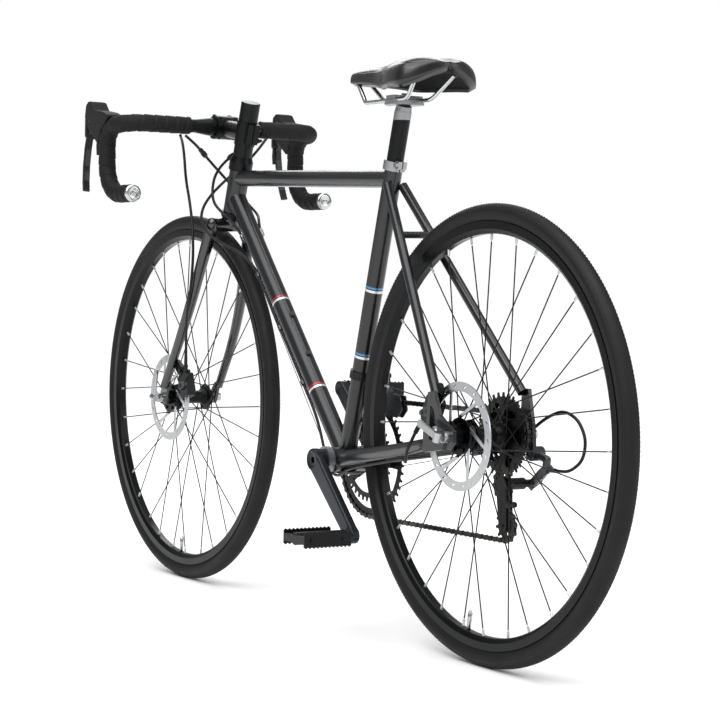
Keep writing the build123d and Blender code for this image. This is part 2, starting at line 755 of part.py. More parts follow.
stem_root = on_steering((stem_low + stem_high) / 2)
rise = math.radians(stem_rise)
stem_direction = Vector(math.cos(rise), 0, math.sin(rise))
stem_up = Vector(-math.sin(rise), 0, math.cos(rise))
bar_centre = stem_root + stem_direction * stem_length
face_half = 22.0


def stem():
    """A stem that clamps the steerer and the bar, with its faceplate and six bolts."""
    clamp = rod(on_steering(stem_low), on_steering(stem_high - gap), steerer_radius + 4.2)
    neck = rod(stem_root, bar_centre - stem_direction * 8, 17.0, 15.0)
    ears = stem_root - stem_direction * (steerer_radius + 7.5)
    tilt = Rot(0, -(90 - head_angle), 0)
    clamp += Pos(*ears) * tilt * Box(12, 22, stem_clamp_height - 8)
    front = rod(at_side(bar_centre, -face_half), at_side(bar_centre, face_half), bar_clamp_radius + 5.5)
    body = clamp + neck + front
    body -= rod(on_steering(stem_low - 30), on_steering(stem_high + 30), steerer_radius + gap)
    body -= rod(at_side(bar_centre, -40), at_side(bar_centre, 40), bar_clamp_radius + gap)
    body -= Pos(*ears) * tilt * Box(26, 1.8, stem_clamp_height + 4)
    ahead = Plane(origin=bar_centre, x_dir=across, z_dir=stem_direction)
    half_space = Box(90, 90, 60, align=(Align.CENTER, Align.CENTER, Align.MIN))
    body -= ahead * half_space
    faceplate = front & (ahead * Pos(0, 0, 1.0) * half_space)
    faceplate -= rod(at_side(bar_centre, -40), at_side(bar_centre, 40), bar_clamp_radius + gap)
    bolts = []
    for y in (-15.0, 15.0):
        for up in (-18.6, 18.6):
            axis = at_side(bar_centre, y) + stem_up * up
            hole = rod(axis - stem_direction * 25, axis + stem_direction * 30, 2.3)
            body -= hole
            faceplate -= hole
            bolts.append(rod(axis - stem_direction * 12, axis + stem_direction * 12, 2.1)
                         + rod(axis + stem_direction * 12, axis + stem_direction * 16, 3.8))
            faceplate -= rod(axis + stem_direction * 9, axis + stem_direction * 40, 4.0)
    fixed_bolts = []
    for up in (-11.0, 11.0):
        line = ears + steer_direction * up - stem_direction * 1.5
        body -= rod(at_side(line, -20), at_side(line, 20), 2.7)
        fixed_bolts.append(rod(at_side(line, 11.0), at_side(line, -11.2), 2.5)
                           + rod(at_side(line, -11.2), at_side(line, -15.5), 4.2))
    bolts = [bolt - body - faceplate for bolt in bolts]
    return [body.solids().sort_by(SortBy.VOLUME)[-1],
            *faceplate.solids(), *[b.solids().sort_by(SortBy.VOLUME)[-1] for b in bolts], *fixed_bolts]


save("stem", *stem())

# ------------------------------------------------------------------ handlebar and levers
bx, bz = bar_centre.X, bar_centre.Z


def bar_route(from_y, back_to):
    return [
        Vector(bx, from_y, bz),
        Vector(bx, bar_half_width, bz),
        Vector(bx + bar_reach, bar_half_width, bz - 6),
        Vector(bx + bar_reach - 2, bar_half_width, bz - bar_drop),
        Vector(back_to, bar_half_width, bz - bar_drop),
    ]


bar_radii = [42.0, 36.0, 58.0]
bar_end_x = bx - bar_tail
inner_radius = bar_radius - bar_wall
middle_outline = [(inner_radius, -60), (bar_radius, -60), (bar_clamp_radius, -32), (bar_clamp_radius, 32),
                  (bar_radius, 60), (inner_radius, 60)]
drop_half = pipe(bar_route(60.0, bar_end_x), bar_radii, bar_radius, bore=inner_radius)
bar_middle = turned(bar_centre, middle_outline)
save("handlebar", drop_half + bar_middle + mirrored(drop_half))

tape = pipe(bar_route(tape_start, bar_end_x + 1), bar_radii, tape_radius, bore=bar_radius + gap)
plug = rod(Vector(bar_end_x - 5, bar_half_width, bz - bar_drop),
           Vector(bar_end_x - gap, bar_half_width, bz - bar_drop), tape_radius - 0.4)
save("bar_tape", tape, mirrored(tape), plug, mirrored(plug))

tape_blank = pipe(bar_route(tape_start - 20, bar_end_x - 10), bar_radii, tape_radius + gap)
lever_pivot = Vector(bx + 132, bar_half_width, bz + 8)


def brake_hood():
    """The lever body: a grip ahead of the bar with a slot for the lever and its pivot pin."""
    half = hood_width / 2
    outline = [(48, 14), (70, 21), (108, 27), (122, 42), (134, 44.5), (145, 38), (150, 14),
               (138, -2), (112, -22), (92, -36), (78, -38), (60, 0)]
    y_low, y_high = bar_half_width - half, bar_half_width + half
    body = plate([(bx + x, bz + z) for x, z in outline], y_low, y_high, 4.0)
    body -= tape_blank
    slot = Box(60, 11, 62)
    body -= Pos(bx + 150, bar_half_width, bz - 8) * slot
    body = body.solids().sort_by(SortBy.VOLUME)[-1]
    hole = rod(at_side(lever_pivot, y_low - 5), at_side(lever_pivot, y_high + 5), 3.0 + running)
    body -= hole
    return body


def brake_lever():
    """A lever with a pivot tang in the hood's slot, a face plate and a curved blade."""
    front = bx + 151
    tang = link_plate(lever_pivot, Vector(front + 2, 0, bz - 6), 8.0, 8.0,
                      bar_half_width - 4, bar_half_width + 4)
    pin = disc(lever_pivot, 3.0, bar_half_width - 15, bar_half_width + 15)
    face = Pos(front + 3, bar_half_width, bz - 3) * Box(5, 24, 40)
    face = fillet(face.edges().filter_by(Axis.X), 6)
    blade_outline = [(front, bz - 8), (front + 6, bz - 8), (front + 9, bz - 40), (front + 7, bz - 75),
                     (front + 1, bz - 105), (front - 5, bz - 121), (front - 9, bz - 119),
                     (front - 3, bz - 100), (front + 2, bz - 72), (front + 3, bz - 42)]
    blade = plate(blade_outline, bar_half_width - 6.5, bar_half_width + 6.5, 1.2)
    hinge_point = Pos(front + 3, bar_half_width, bz)
    blade = hinge_point * Rot(6, 0, 0) * hinge_point.inverse() * blade
    paddle_pin = rod(Vector(front + 1, paddle_y, paddle_z), Vector(front - 9, paddle_y, paddle_z), 2.0)
    return tang + pin + face + blade + paddle_pin


paddle_y, paddle_z = bar_half_width - 8.5, bz - 18.0


def shift_paddle():
    """A small lever behind the brake lever, on a pin that points forward."""
    front = bx + 151
    boss = rod(Vector(front - 0.3, paddle_y, paddle_z), Vector(front - 8.5, paddle_y, paddle_z), 4.0)
    outline = [(front - 8, paddle_z), (front - 1, paddle_z), (front + 1, paddle_z - 18),
               (front - 1, paddle_z - 34), (front - 8, paddle_z - 34), (front - 12, paddle_z - 20)]
    blade = plate(outline, paddle_y - 3.5, paddle_y - 1.0, 1.0)
    return boss + blade - rod(Vector(front + 5, paddle_y, paddle_z),
                              Vector(front - 20, paddle_y, paddle_z), 2.0 + running)


hood = brake_hood()
lever = brake_lever()
paddle = shift_paddle()
save("brake_hoods", hood, mirrored(hood))
save("left_brake_lever", lever)
save("right_brake_lever", mirrored(lever))
save("left_shift_paddle", paddle)
save("right_shift_paddle", mirrored(paddle))

# ------------------------------------------------------------------ seat
# Stations along the saddle: distance behind the nose, half width, drop of the top below the
# highest point, depth.
saddle_stations = [
    (0.0, 14.0, 6.0, 20.0),
    (66.0, 21.0, 3.0, 30.0),
    (132.0, 35.0, 4.0, 33.0),
    (200.0, 61.0, 2.0, 42.0),
    (250.0, 72.0, 0.0, 50.0),
    (280.0, 52.0, 5.0, 44.0),
]


def saddle_section(behind, half, drop, depth, shrink=0.0):
    """A rounded rectangle across the saddle, for a loft."""
    top = saddle_top - drop
    height = depth - shrink
    place = Plane(origin=(saddle_nose_x - behind, 0, top - height / 2), x_dir=(0, 1, 0), z_dir=(-1, 0, 0))
    return place * RectangleRounded(2 * half, height, 0.42 * height)


def saddle_shell():
    """A thin curved base under the padding."""
    sections = []
    for behind, half, drop, depth in saddle_stations[:-1]:
        low = saddle_top - drop - depth - soft_gap - shell_thickness / 2
        place = Plane(origin=(saddle_nose_x - behind - 4, 0, low), x_dir=(0, 1, 0), z_dir=(-1, 0, 0))
        sections.append(place * Rectangle(1.5 * half, shell_thickness))
    return loft(sections)


cover = loft([saddle_section(*station) for station in saddle_stations])
shell = saddle_shell() - Pos(0, 0, -soft_gap) * cover
rail_low = post_head_height + 15.5
rail_half = rail_spacing / 2
rail_points = [
    Vector(saddle_nose_x - 26, 9, saddle_top - 28),
    Vector(saddle_nose_x - 70, rail_half - 3, rail_low + 1),
    Vector(saddle_nose_x - 110, rail_half, rail_low),
    Vector(saddle_nose_x - 196, rail_half, rail_low),
    Vector(saddle_nose_x - 248, rail_half + 12, saddle_top - 46),
]
rail = pipe(rail_points, [14, 60, 30], rail_radius)
rail -= shell
rail -= cover
rail = rail.solids().sort_by(SortBy.VOLUME)[-1]
save("saddle_cover", cover)
save("saddle_shell", shell)
save("saddle_rails", rail, mirrored(rail))


def seatpost():
    """A post with a head that holds the rails between a cradle and a clamp plate."""
    top = on_seat_tube(post_head_height)
    post = rod(on_seat_tube(640.0), top, post_radius, bore=post_radius - 2.2)
    clamp_x = top.X - 3
    head = rod(top, top + Vector(-3, 0, 8), post_radius - 0.5, 12.0)
    cradle = Pos(clamp_x, 0, rail_low - 3.0) * Box(34, rail_spacing + 12, 7.6)
    cradle = fillet(cradle.edges().filter_by(Axis.Z), 5)
    clamp = Pos(clamp_x, 0, rail_low + 4.4) * Box(26, rail_spacing + 12, 6.0)
    clamp = fillet(clamp.edges().filter_by(Axis.Z), 5)
    for side in (left, right):
        groove = rod(Vector(clamp_x - 40, side * rail_half, rail_low),
                     Vector(clamp_x + 40, side * rail_half, rail_low), rail_radius + running)
        cradle -= groove
        clamp -= groove
    post += head
    cradle -= post
    bolt_hole = rod(Vector(clamp_x, 0, rail_low - 20), Vector(clamp_x, 0, rail_low + 30), 3.2)
    cradle -= bolt_hole
    clamp -= bolt_hole
    bolt = rod(Vector(clamp_x, 0, rail_low - 4.0), Vector(clamp_x, 0, rail_low + 7.6), 3.0)
    bolt += rod(Vector(clamp_x, 0, rail_low + 7.6), Vector(clamp_x, 0, rail_low + 11.5), 5.0)
    bolt -= post
    return [post, cradle, clamp, bolt]


save("seatpost", *seatpost())


# ------------------------------------------------------------------ sprockets and chain
def pitch_radius(teeth):
    return chain_pitch / (2 * math.sin(math.pi / teeth))


def toothed(teeth, bore, tooth=3.0, opening=1.5):
    """A flat sprocket outline: a disc with a roller seat and an open flank for each tooth gap."""
    radius = pitch_radius(teeth)
    seat = roller_radius + 0.3
    flank = make_face(Polyline((0, -seat), (6, -seat - opening), (6, seat + opening), (0, seat), close=True))
    pocket = Circle(seat) + flank
    face = Circle(radius + tooth)
    cutters = [Rot(0, 0, n * 360 / teeth) * Pos(radius, 0) * pocket for n in range(teeth)]
    face -= cutters
    return face - Circle(bore)


def upright(face, thickness, centre, y, turn=0.0):
    """A flat face made into a plate about a line along Y, centred on y and turned in degrees."""
    solid = Pos(0, thickness / 2, 0) * Rot(90, 0, 0) * extrude(face, thickness)
    return Pos(centre.X, y, centre.Z) * Rot(0, -turn, 0) * solid


def sprocket_y(index):
    return cassette_inner_y - (len(sprockets) - 1 - index) * sprocket_pitch


def tangent(start, end):
    """The directed line from one chain wheel to the next, as angle and length.

    A wheel is (x, z, radius, way) with way 1 when the chain goes round it anticlockwise,
    seen with +X to the right and +Z up.
    """
    dx, dz = end[0] - start[0], end[1] - start[1]
    reach = math.hypot(dx, dz)
    offset = start[2] * start[3] - end[2] * end[3]
    angle = math.atan2(dz, dx) + math.asin(offset / reach)
    return angle, math.sqrt(reach**2 - offset**2)


guide_centre = Vector(axle_x + 27.0, 0, axle_z - 76.0)
chain_y = sprocket_y(chain_sprocket)
ring_wheel = (bb.X, bb.Z, pitch_radius(large_ring_teeth), 1)
cog_wheel = (axle_x, axle_z, pitch_radius(sprockets[chain_sprocket]), 1)


def chain_wheels(cage_angle):
    """The four wheels of the chain, with the cage hanging at an angle above forward."""
    turn = math.radians(cage_angle)
    guide = (guide_centre.X, guide_centre.Z, pitch_radius(jockey_teeth), -1)
    tension = (guide[0] + cage_length * math.cos(turn), guide[1] + cage_length * math.sin(turn),
               pitch_radius(jockey_teeth), 1)
    teeth = (large_ring_teeth, sprockets[chain_sprocket], jockey_teeth, jockey_teeth)
    return [ring_wheel, cog_wheel, guide, tension], teeth


def chain_stretches(cage_angle):
    """Arcs and straight runs of the chain in turn, each with its length in links."""
    wheels, teeth = chain_wheels(cage_angle)
    lines = [tangent(wheels[n], wheels[(n + 1) % 4]) for n in range(4)]
    stretches = []
    for n in range(4):
        arrive, leave = lines[n - 1][0], lines[n][0]
        turn = (leave - arrive) * wheels[n][3] % (2 * math.pi)
        stretches.append(("arc", n, arrive, turn * teeth[n] / (2 * math.pi)))
        stretches.append(("run", n, leave, lines[n][1] / chain_pitch))
    return stretches


def chain_links(cage_angle):
    return sum(stretch[3] for stretch in chain_stretches(cage_angle))


def closing_angle(start=262.0, step=30.0):
    """The cage angle near start at which the chain is an even number of links long."""
    wanted = 2 * round(chain_links(start) / 2)
    low, high = start - step, start + step
    rising = chain_links(high) > chain_links(low)
    for _ in range(50):
        middle = (low + high) / 2
        if (chain_links(middle) > wanted) == rising:
            high = middle
        else:
            low = middle
    return middle, wanted


cage_angle, link_count = closing_angle()
wheels, wheel_teeth = chain_wheels(cage_angle)
wheel_y = (large_ring_y, chain_y, chain_y, chain_y)
print(f"chain of {link_count} links, cage at {cage_angle:.2f} degrees")


def chain_point(count):
    """Where the chain is after a number of links from the start of the large ring's arc."""
    for kind, n, angle, length in chain_stretches(cage_angle):
        if count <= length:
            break
        count -= length
    x, z, radius, way = wheels[n]
    turn = angle
    if kind == "arc":
        turn = angle + way * count * 2 * math.pi / wheel_teeth[n]
    px = x + way * radius * math.sin(turn)
    pz = z - way * radius * math.cos(turn)
    y = wheel_y[n]
    if kind == "run":
        px += count * chain_pitch * math.cos(angle)
        pz += count * chain_pitch * math.sin(angle)
        y += (wheel_y[(n + 1) % 4] - y) * count / length
    return Vector(px, y, pz)


def seat_angle_of(n):
    """The angle of a roller seated on wheel n, so that its teeth stand between rollers."""
    before = sum(stretch[3] for stretch in chain_stretches(cage_angle)[: 2 * n])
    point = chain_point(math.ceil(before) + 1)
    return math.degrees(math.atan2(point.Z - wheels[n][1], point.X - wheels[n][0]))


plate_thickness = 0.85
inner_half = 1.1  # half the gap between the inner plates
plate_slack = 0.12


def chain_plates(y_inner, pin_radius):
    """Two figure-eight plates one pitch long, a mirrored pair about Y = 0."""
    end = 4.1
    eyes = Circle(end) + Pos(chain_pitch, 0) * Circle(end) + Pos(chain_pitch / 2, 0) * Rectangle(chain_pitch, 5.4)
    for x in (0, chain_pitch):
        eyes -= Pos(x, 0) * Circle(pin_radius)
    one = Pos(0, y_inner + plate_thickness, 0) * Rot(90, 0, 0) * extrude(eyes, plate_thickness)
    return one, mirrored(one)


def outer_link():
    """Two outer plates on two pins."""
    y_inner = inner_half + plate_thickness + plate_slack
    pins = [disc(Vector(x, 0, 0), 1.8, -y_inner - plate_thickness, y_inner + plate_thickness)
            for x in (0, chain_pitch)]
    link = pins[0] + pins[1]
    for solid in chain_plates(y_inner, 1.0):
        link += solid
    return link


def inner_link():
    """Two inner plates on two rollers, bored for the outer links' pins."""
    rollers = [washer(Vector(x, 0, 0), roller_radius, 2.15, -inner_half, inner_half)
               for x in (0, chain_pitch)]
    link = rollers[0] + rollers[1]
    for solid in chain_plates(inner_half, 2.15):
        link += solid
    return link


def chain():
    """The closed chain: inner and outer links in turn along its route."""
    kinds = (inner_link(), outer_link())
    parts = []
    for n in range(link_count):
        here, after = chain_point(n), chain_point((n + 1) % link_count)
        along = (after - here).normalized()
        spare = along * ((after - here).length - chain_pitch) / 2
        sideways = across - along * across.dot(along)
        place = Plane(origin=here + spare, x_dir=along, z_dir=along.cross(sideways))
        parts.append(place * kinds[n % 2])
    return parts


save("chain", *chain())


def cassette():
    """Ten sprockets with spacers on the freehub body, held by a lockring."""
    body_radius = 17.0
    inboard = rear_end_right - gap
    outboard = sprocket_y(0) - sprocket_thickness / 2 - gap / 2
    parts = [washer(rear_axle, body_radius, axle_radius + running, outboard, inboard)]
    parts.append(washer(rear_axle, 19.5, 9.5, outboard - 1.7, outboard - gap / 2))
    for index, teeth in enumerate(sprockets):
        face = toothed(teeth, body_radius + running)
        ring_space = pitch_radius(teeth) - 7 - 22
        if ring_space > 9:
            window = SlotCenterToCenter(ring_space / 2, 0.45 * ring_space)
            middle = 22 + ring_space / 2
            windows = [Rot(0, 0, n * 60) * Pos(middle, 0) * Rot(0, 0, 60) * window for n in range(6)]
            face -= windows
        turn = seat_angle_of(1) if index == chain_sprocket else 0.0
        parts.append(upright(face, sprocket_thickness, rear_axle, sprocket_y(index), turn))
        if index:
            low = sprocket_y(index - 1) + sprocket_thickness / 2 + gap / 2
            high = sprocket_y(index) - sprocket_thickness / 2 - gap / 2
            parts.append(washer(rear_axle, 19.5, body_radius + running, low, high))
    return parts


save("cassette", *cassette())

# ------------------------------------------------------------------ crank and pedals
ring_phase = seat_angle_of(0)


def chainring(teeth, rim_depth, y, turn):
    """A chainring with five tabs that reach in to the spider's bolts."""
    inner = pitch_radius(teeth) - roller_radius - rim_depth
    face = toothed(teeth, inner)
    for n in range(spider_bolts):
        tab = Pos(spider_bolt_circle, 0) * Circle(7.5)
        tab += Pos((spider_bolt_circle + inner + 2) / 2, 0) * Rectangle(inner + 2 - spider_bolt_circle, 15)
        tab = Rot(0, 0, n * 360 / spider_bolts + crank_angle - turn) * tab
        face += tab
    for n in range(spider_bolts):
        at = Rot(0, 0, n * 360 / spider_bolts + crank_angle - turn)
        face -= at * Pos(spider_bolt_circle, 0) * Circle(4.3)
    return upright(face, ring_thickness, bb, y, turn)


def crank_arm():
    """An arm along +X on the left, flared outward, with its boss round the spindle."""
    top = arm_face + crank_arm_thickness
    arm = link_plate(Vector(0, 0, 0), Vector(crank_length, 0, 0), 17.0, 13.0, arm_face, top)
    arm = fillet(arm.edges().filter_by(GeomType.LINE), 3.0)
    arm = Rot(0, 0, math.degrees(math.atan2(arm_flare, crank_length))) * arm
    boss = disc(Vector(0, 0, 0), 17.5, bb_shell_half + bb_cup_width + gap, top + 1)
    eye = disc(Vector(crank_length, 0, 0), 13.0, arm_face + arm_flare, top + arm_flare)
    hole = disc(Vector(crank_length, 0, 0), 7.0 + gap, arm_face - 10, top + 30)
    return arm + boss + eye - hole


def pedal_spindle():
    """A threaded spindle with a shoulder outside the arm."""
    origin = Vector(crank_length, 0, 0)
    outer = arm_face + crank_arm_thickness + arm_flare
    spindle = disc(origin, 7.0, arm_face + arm_flare + 1, outer)
    spindle += disc(origin, 9.5, outer + gap, outer + 5)
    spindle += disc(origin, 5.5, outer, pedal_inner_y + pedal_width - 6)
    return spindle


def cranks():
    """Right arm with spider and spindle in one, the left arm, its cap and both pedal spindles."""
    arm = crank_arm()
    spindle_end = arm_face + 9
    bore = disc(Vector(0, 0, 0), spindle_radius + running, 0, 100)
    left_arm = arm - bore
    slit = Pos(-14, arm_face - 3, 0) * Box(10, 20, 1.6)
    left_arm -= slit
    cap = washer(Vector(0, 0, 0), spindle_radius - gap, 5.0, spindle_end + 1, spindle_end + 4)
    right_arm = mirrored(arm)
    spider = disc(Vector(0, 0, 0), 24.0, large_ring_y - ring_thickness / 2 - 4, -45.0)
    for n in range(spider_bolts):
        end = Vector(spider_bolt_circle, 0, 0)
        limb = link_plate(Vector(0, 0, 0), end, 12.0, 7.0, large_ring_y - 6, large_ring_y - 1)
        pad_low = large_ring_y + ring_thickness / 2 + gap
        pad_high = small_ring_y - ring_thickness / 2 - gap
        limb -= disc(end, 9.5, large_ring_y - ring_thickness, large_ring_y + 20)
        pad = disc(end, 7.0, pad_low, pad_high)
        reach = link_plate(Vector(20, 0, 0), end, 7.0, 6.0, pad_low, pad_high)
        limb += pad + reach
        limb -= disc(end, 4.3, -70, -30)
        spider += Rot(0, -n * 360 / spider_bolts, 0) * limb
    spider -= washer(Vector(0, 0, 0), 150, 46.0, large_ring_y - ring_thickness / 2 - gap,
                     large_ring_y + ring_thickness / 2 + gap)
    spider -= disc(Vector(0, 0, 0), bb_cup_radius + 1, -45.0, 0)
    spindle = washer(Vector(0, 0, 0), spindle_radius, 10.0, -50.0, spindle_end)
    right_arm = right_arm + spider + spindle
    place_right = Pos(*bb) * Rot(0, -crank_angle, 0)
    place_left = Pos(*bb) * Rot(0, -crank_angle - 180, 0)
    pedal = pedal_spindle()
    parts = [place_right * right_arm.solids().sort_by(SortBy.VOLUME)[-1]]
    parts += [place_left * left_arm, place_left * cap]
    parts += [place_left * pedal, place_right * mirrored(pedal)]
    return parts


rings = [
    chainring(large_ring_teeth, 10.0, large_ring_y, ring_phase),
    chainring(small_ring_teeth, 8.0, small_ring_y, 0.0),
]
for n in range(spider_bolts):
    angle = math.radians(crank_angle + n * 360 / spider_bolts)
    spot = bb + Vector(math.cos(angle), 0, math.sin(angle)) * spider_bolt_circle
    rings.append(disc(spot, 4.2, large_ring_y - 1.5, small_ring_y + 1.5))
save("crank_arms", *cranks())
save("chainrings", *rings)


def pedal(side):
    """A barrel on the spindle inside a cage with toothed front and rear plates."""
    middle_y = pedal_inner_y + pedal_width / 2
    outer = pedal_inner_y + pedal_width
    body = disc(Vector(0, 0, 0), 10.0, pedal_inner_y - 7, outer - 2)
    frame_box = Box(pedal_length - 4, pedal_width, 12) - Box(pedal_length - 12, pedal_width - 10, 14)
    frame_box = Pos(0, middle_y, 0) * frame_box
    web = Pos(0, middle_y, 0) * Box(pedal_length - 8, 8, 8)
    body += frame_box + web
    tooth_pitch = 7.0
    count = int(pedal_width // tooth_pitch)
    edge = []
    for n in range(count):
        start = n * tooth_pitch - count * tooth_pitch / 2
        edge += [(start, 10.0), (start + tooth_pitch / 2, pedal_height / 2)]
    edge.append((count * tooth_pitch / 2, 10.0))
    outline = edge + [(y, -z) for y, z in reversed(edge)]
    cage_face = make_face(Polyline(*outline, close=True))
    for x in (-pedal_length / 2, pedal_length / 2 - 2.5):
        upright_plane = Plane(origin=(x, middle_y, 0), x_dir=(0, 1, 0), z_dir=(1, 0, 0))
        body += extrude(upright_plane * cage_face, 2.5)
    body -= disc(Vector(0, 0, 0), 5.5 + running, pedal_inner_y - 20, outer - 5.5)
    body = body.solids().sort_by(SortBy.VOLUME)[-1]
    bolts = []
    for x in (-1, 1):
        for y in (-28.0, 28.0):
            start = Vector(x * (pedal_length / 2 + gap), middle_y + y, 0)
            bolts.append(rod(start, start + Vector(x * 2.0, 0, 0), 3.2))
    angle = crank_angle if side == right else crank_angle + 180
    reach = Vector(math.cos(math.radians(angle)), 0, math.sin(math.radians(angle))) * crank_length
    place = Pos(*(bb + reach))
    solids = [body, *bolts]
    if side == right:
        solids = [mirrored(solid) for solid in solids]
    return [place * solid for solid in solids]


save("left_pedal", *pedal(left))
save("right_pedal", *pedal(right))

# ------------------------------------------------------------------ rear derailleur
# The links swing about an axis that leans, so that the guide pulley drops as it moves inward.
swing_way = Vector(0, 0.85, -0.527)
link_lean = math.radians(30)
link_middle = Vector(math.cos(link_lean), -0.527 * math.sin(link_lean), -0.85 * math.sin(link_lean))
swing_axis = link_middle.cross(swing_way).normalized()
link_length = 42.0
link_rest = math.radians(-5.0)
link_vector = (link_middle * math.cos(link_rest) + swing_way * math.sin(link_rest)) * link_length
knuckle_pivots = hanger + Vector(-14.0, -84.0, -27.0)
cage_pivots = knuckle_pivots + link_vector
link_offset = 6.2
lug_radius = 3.9
lug_half = 3.0
link_pin_radius = 1.8
cage_half = 4.6  # half the space between the cage plates
cage_plate = 1.6
turn = math.radians(cage_angle)
tension_centre = guide_centre + Vector(math.cos(turn), 0, math.sin(turn)) * cage_length
print("swing axis", swing_axis, "knuckle pivots", knuckle_pivots, "cage pivots", cage_pivots)


def swing_frame(origin):
    """Local X along the links' middle direction, Y the way they swing, Z the pivot axis."""
    return Plane(origin=origin, x_dir=link_middle, z_dir=swing_axis)


def pivot_block(origin, way):
    """Two lugs with pins on a block; way -1 puts the block behind the pivots, 1 ahead."""
    block = Pos(way * 10.5, 0, 0) * Box(11, 20, 13)
    for y in (-link_offset, link_offset):
        block += Pos(way * 4, y, 0) * Box(8, 2 * lug_radius, 2 * lug_half)
        block += Pos(0, y, 0) * Cylinder(lug_radius, 2 * lug_half)
        block += Pos(0, y, 0) * Cylinder(link_pin_radius, 2 * lug_half + 8)
    return swing_frame(origin) * block


def derailleur_link(side):
    """Two side bars joined by a web between their pivots."""
    start = knuckle_pivots + swing_way * side * link_offset
    inner = lug_half + gap
    outline = Circle(4.0) + Pos(link_length, 0) * Circle(4.0)
    face = make_hull(outline.edges())
    face -= Circle(link_pin_radius + running)
    face -= Pos(link_length, 0) * Circle(link_pin_radius + running)
    bar = extrude(face, 3.0)
    link = Pos(0, 0, inner) * bar + Pos(0, 0, -inner - 3.0) * bar
    link += Pos(link_length / 2, 0, 0) * Box(link_length - 14, 3.2, 2 * inner + 2)
    return Plane(origin=start, x_dir=link_vector, z_dir=swing_axis) * link


plate_outer_y = hanger.Y - rear_hub_half - dropout_thickness
hanging = rod(at_side(hanger, plate_outer_y - gap), at_side(hanger, -90.0), 11.0)
hanging += rod(at_side(hanger, plate_outer_y + 5), at_side(hanger, -80.0), 5.0)
knuckle = hanging + pivot_block(knuckle_pivots, -1)
elbow = at_side(hanger, -80.0) + Vector(-28.0, 0, -7.0)
knuckle += rod(at_side(hanger, -80.0), elbow, 6.0) + rod(elbow, knuckle_pivots - link_middle * 12, 6.0)
knuckle += Pos(*elbow) * Sphere(6.0)
adjuster_start = knuckle_pivots - link_middle * 12
adjuster_way = Vector(-0.985, -0.17, 0)
adjuster_end = adjuster_start + adjuster_way * 20
knuckle += rod(adjuster_start, adjuster_end, 3.6)
save("rear_derailleur_knuckle", knuckle)
save("rear_derailleur_outer_link", derailleur_link(-1))
save("rear_derailleur_inner_link", derailleur_link(1))

cage_outer_y = chain_y - cage_half - cage_plate
barrel_end = at_side(guide_centre, cage_pivots.Y + 14)
barrel = rod(at_side(guide_centre, cage_outer_y - gap), barrel_end, 9.0)
barrel += rod(at_side(guide_centre, cage_outer_y + 0.2), at_side(guide_centre, cage_outer_y - 4), 4.0)
cage_knuckle = pivot_block(cage_pivots, 1) + barrel
cage_knuckle += rod(cage_pivots + link_middle * 12, at_side(guide_centre, cage_pivots.Y + 17), 6.0)
save("rear_derailleur_cage_knuckle", cage_knuckle)


def cage():
    """Two plates joined by the lower pulley's bolt, the upper pulley's bolt and a post."""
    along = (tension_centre - guide_centre).normalized()
    aside = Vector(along.Z, 0, -along.X)
    middle = (guide_centre + tension_centre) * 0.5
    post = middle + aside * 19.0
    solids = []
    outer = (chain_y - cage_half - cage_plate, chain_y - cage_half)
    inner = (chain_y + cage_half, chain_y + cage_half + cage_plate)
    for y_low, y_high in (outer, inner):
        side_plate = link_plate(guide_centre, tension_centre, 13.0, 9.5, y_low, y_high)
        side_plate += link_plate(middle, post, 6.0, 4.0, y_low, y_high)
        solids.append(side_plate)
    solids[0] -= disc(guide_centre, 4.0 + running, -90, 0)
    frame = solids[0] + solids[1]
    frame += disc(post, 2.4, *outer[:1], inner[1])
    frame += disc(guide_centre, 2.5, outer[1] + gap, inner[1])
    frame += disc(tension_centre, 2.5, outer[0] - 1.5, inner[1] + 1.5)
    return frame


def jockey_wheel(centre, turned_to):
    """A toothed pulley with a hub that fills the cage."""
    face = toothed(jockey_teeth, 2.5 + running, 2.2, 4.5)
    for n in range(5):
        face -= Rot(0, 0, n * 72) * Pos(13.0, 0) * Circle(2.6)
    wheel = upright(face, 1.6, centre, chain_y, turned_to)
    wheel += washer(centre, 7.5, 2.5 + running, chain_y - cage_half + gap, chain_y + cage_half - gap)
    return wheel


save("rear_derailleur_cage", cage())
save("upper_jockey_wheel", jockey_wheel(guide_centre, seat_angle_of(2)))
save("lower_jockey_wheel", jockey_wheel(tension_centre, seat_angle_of(3)))

# ------------------------------------------------------------------ front derailleur
clamp_height = 413.0
clamp_centre = on_seat_tube(clamp_height)
shifter_x = clamp_centre.X - 14.0
upper_pivot = Vector(shifter_x, -40.2, clamp_height - 1)
lower_pivot = Vector(shifter_x, -43.7, clamp_height - 24.7)
mech_ear = 4.0
cage_thickness = 1.5


def along_x(centre, radius, half):
    """A round bar through a point along X."""
    return rod(centre - Vector(half, 0, 0), centre + Vector(half, 0, 0), radius)


def ears(centre, reach_y, reach_z, size_y, size_z):
    """A pair of ears with a pin along X, reaching from the pin to a block's side."""
    body = along_x(centre, 2.0, 5.1 + mech_ear)
    for side in (left, right):
        x = side * (5.1 + mech_ear / 2)
        ear = Pos(centre.X + x, centre.Y, centre.Z) * Cylinder(5.0, mech_ear, rotation=(0, 90, 0))
        ear += Pos(centre.X + x, centre.Y + reach_y, centre.Z + reach_z) * Box(mech_ear, size_y, size_z)
        body += ear
    return body


def front_derailleur_body():
    """A hinged band round the seat tube with a body that carries the link."""
    low = clamp_centre - seat_direction * 6.5
    high = clamp_centre + seat_direction * 6.5
    band = rod(low, high, seat_tube_radius + 3.0)
    band += Pos(clamp_centre.X - 8, -24, clamp_height - 1) * Box(26, 20, 13)
    band += ears(upper_pivot, 5.0, 0, 10, 10)
    band -= rod(low - seat_direction * 20, high + seat_direction * 20, seat_tube_radius + gap / 2)
    return band


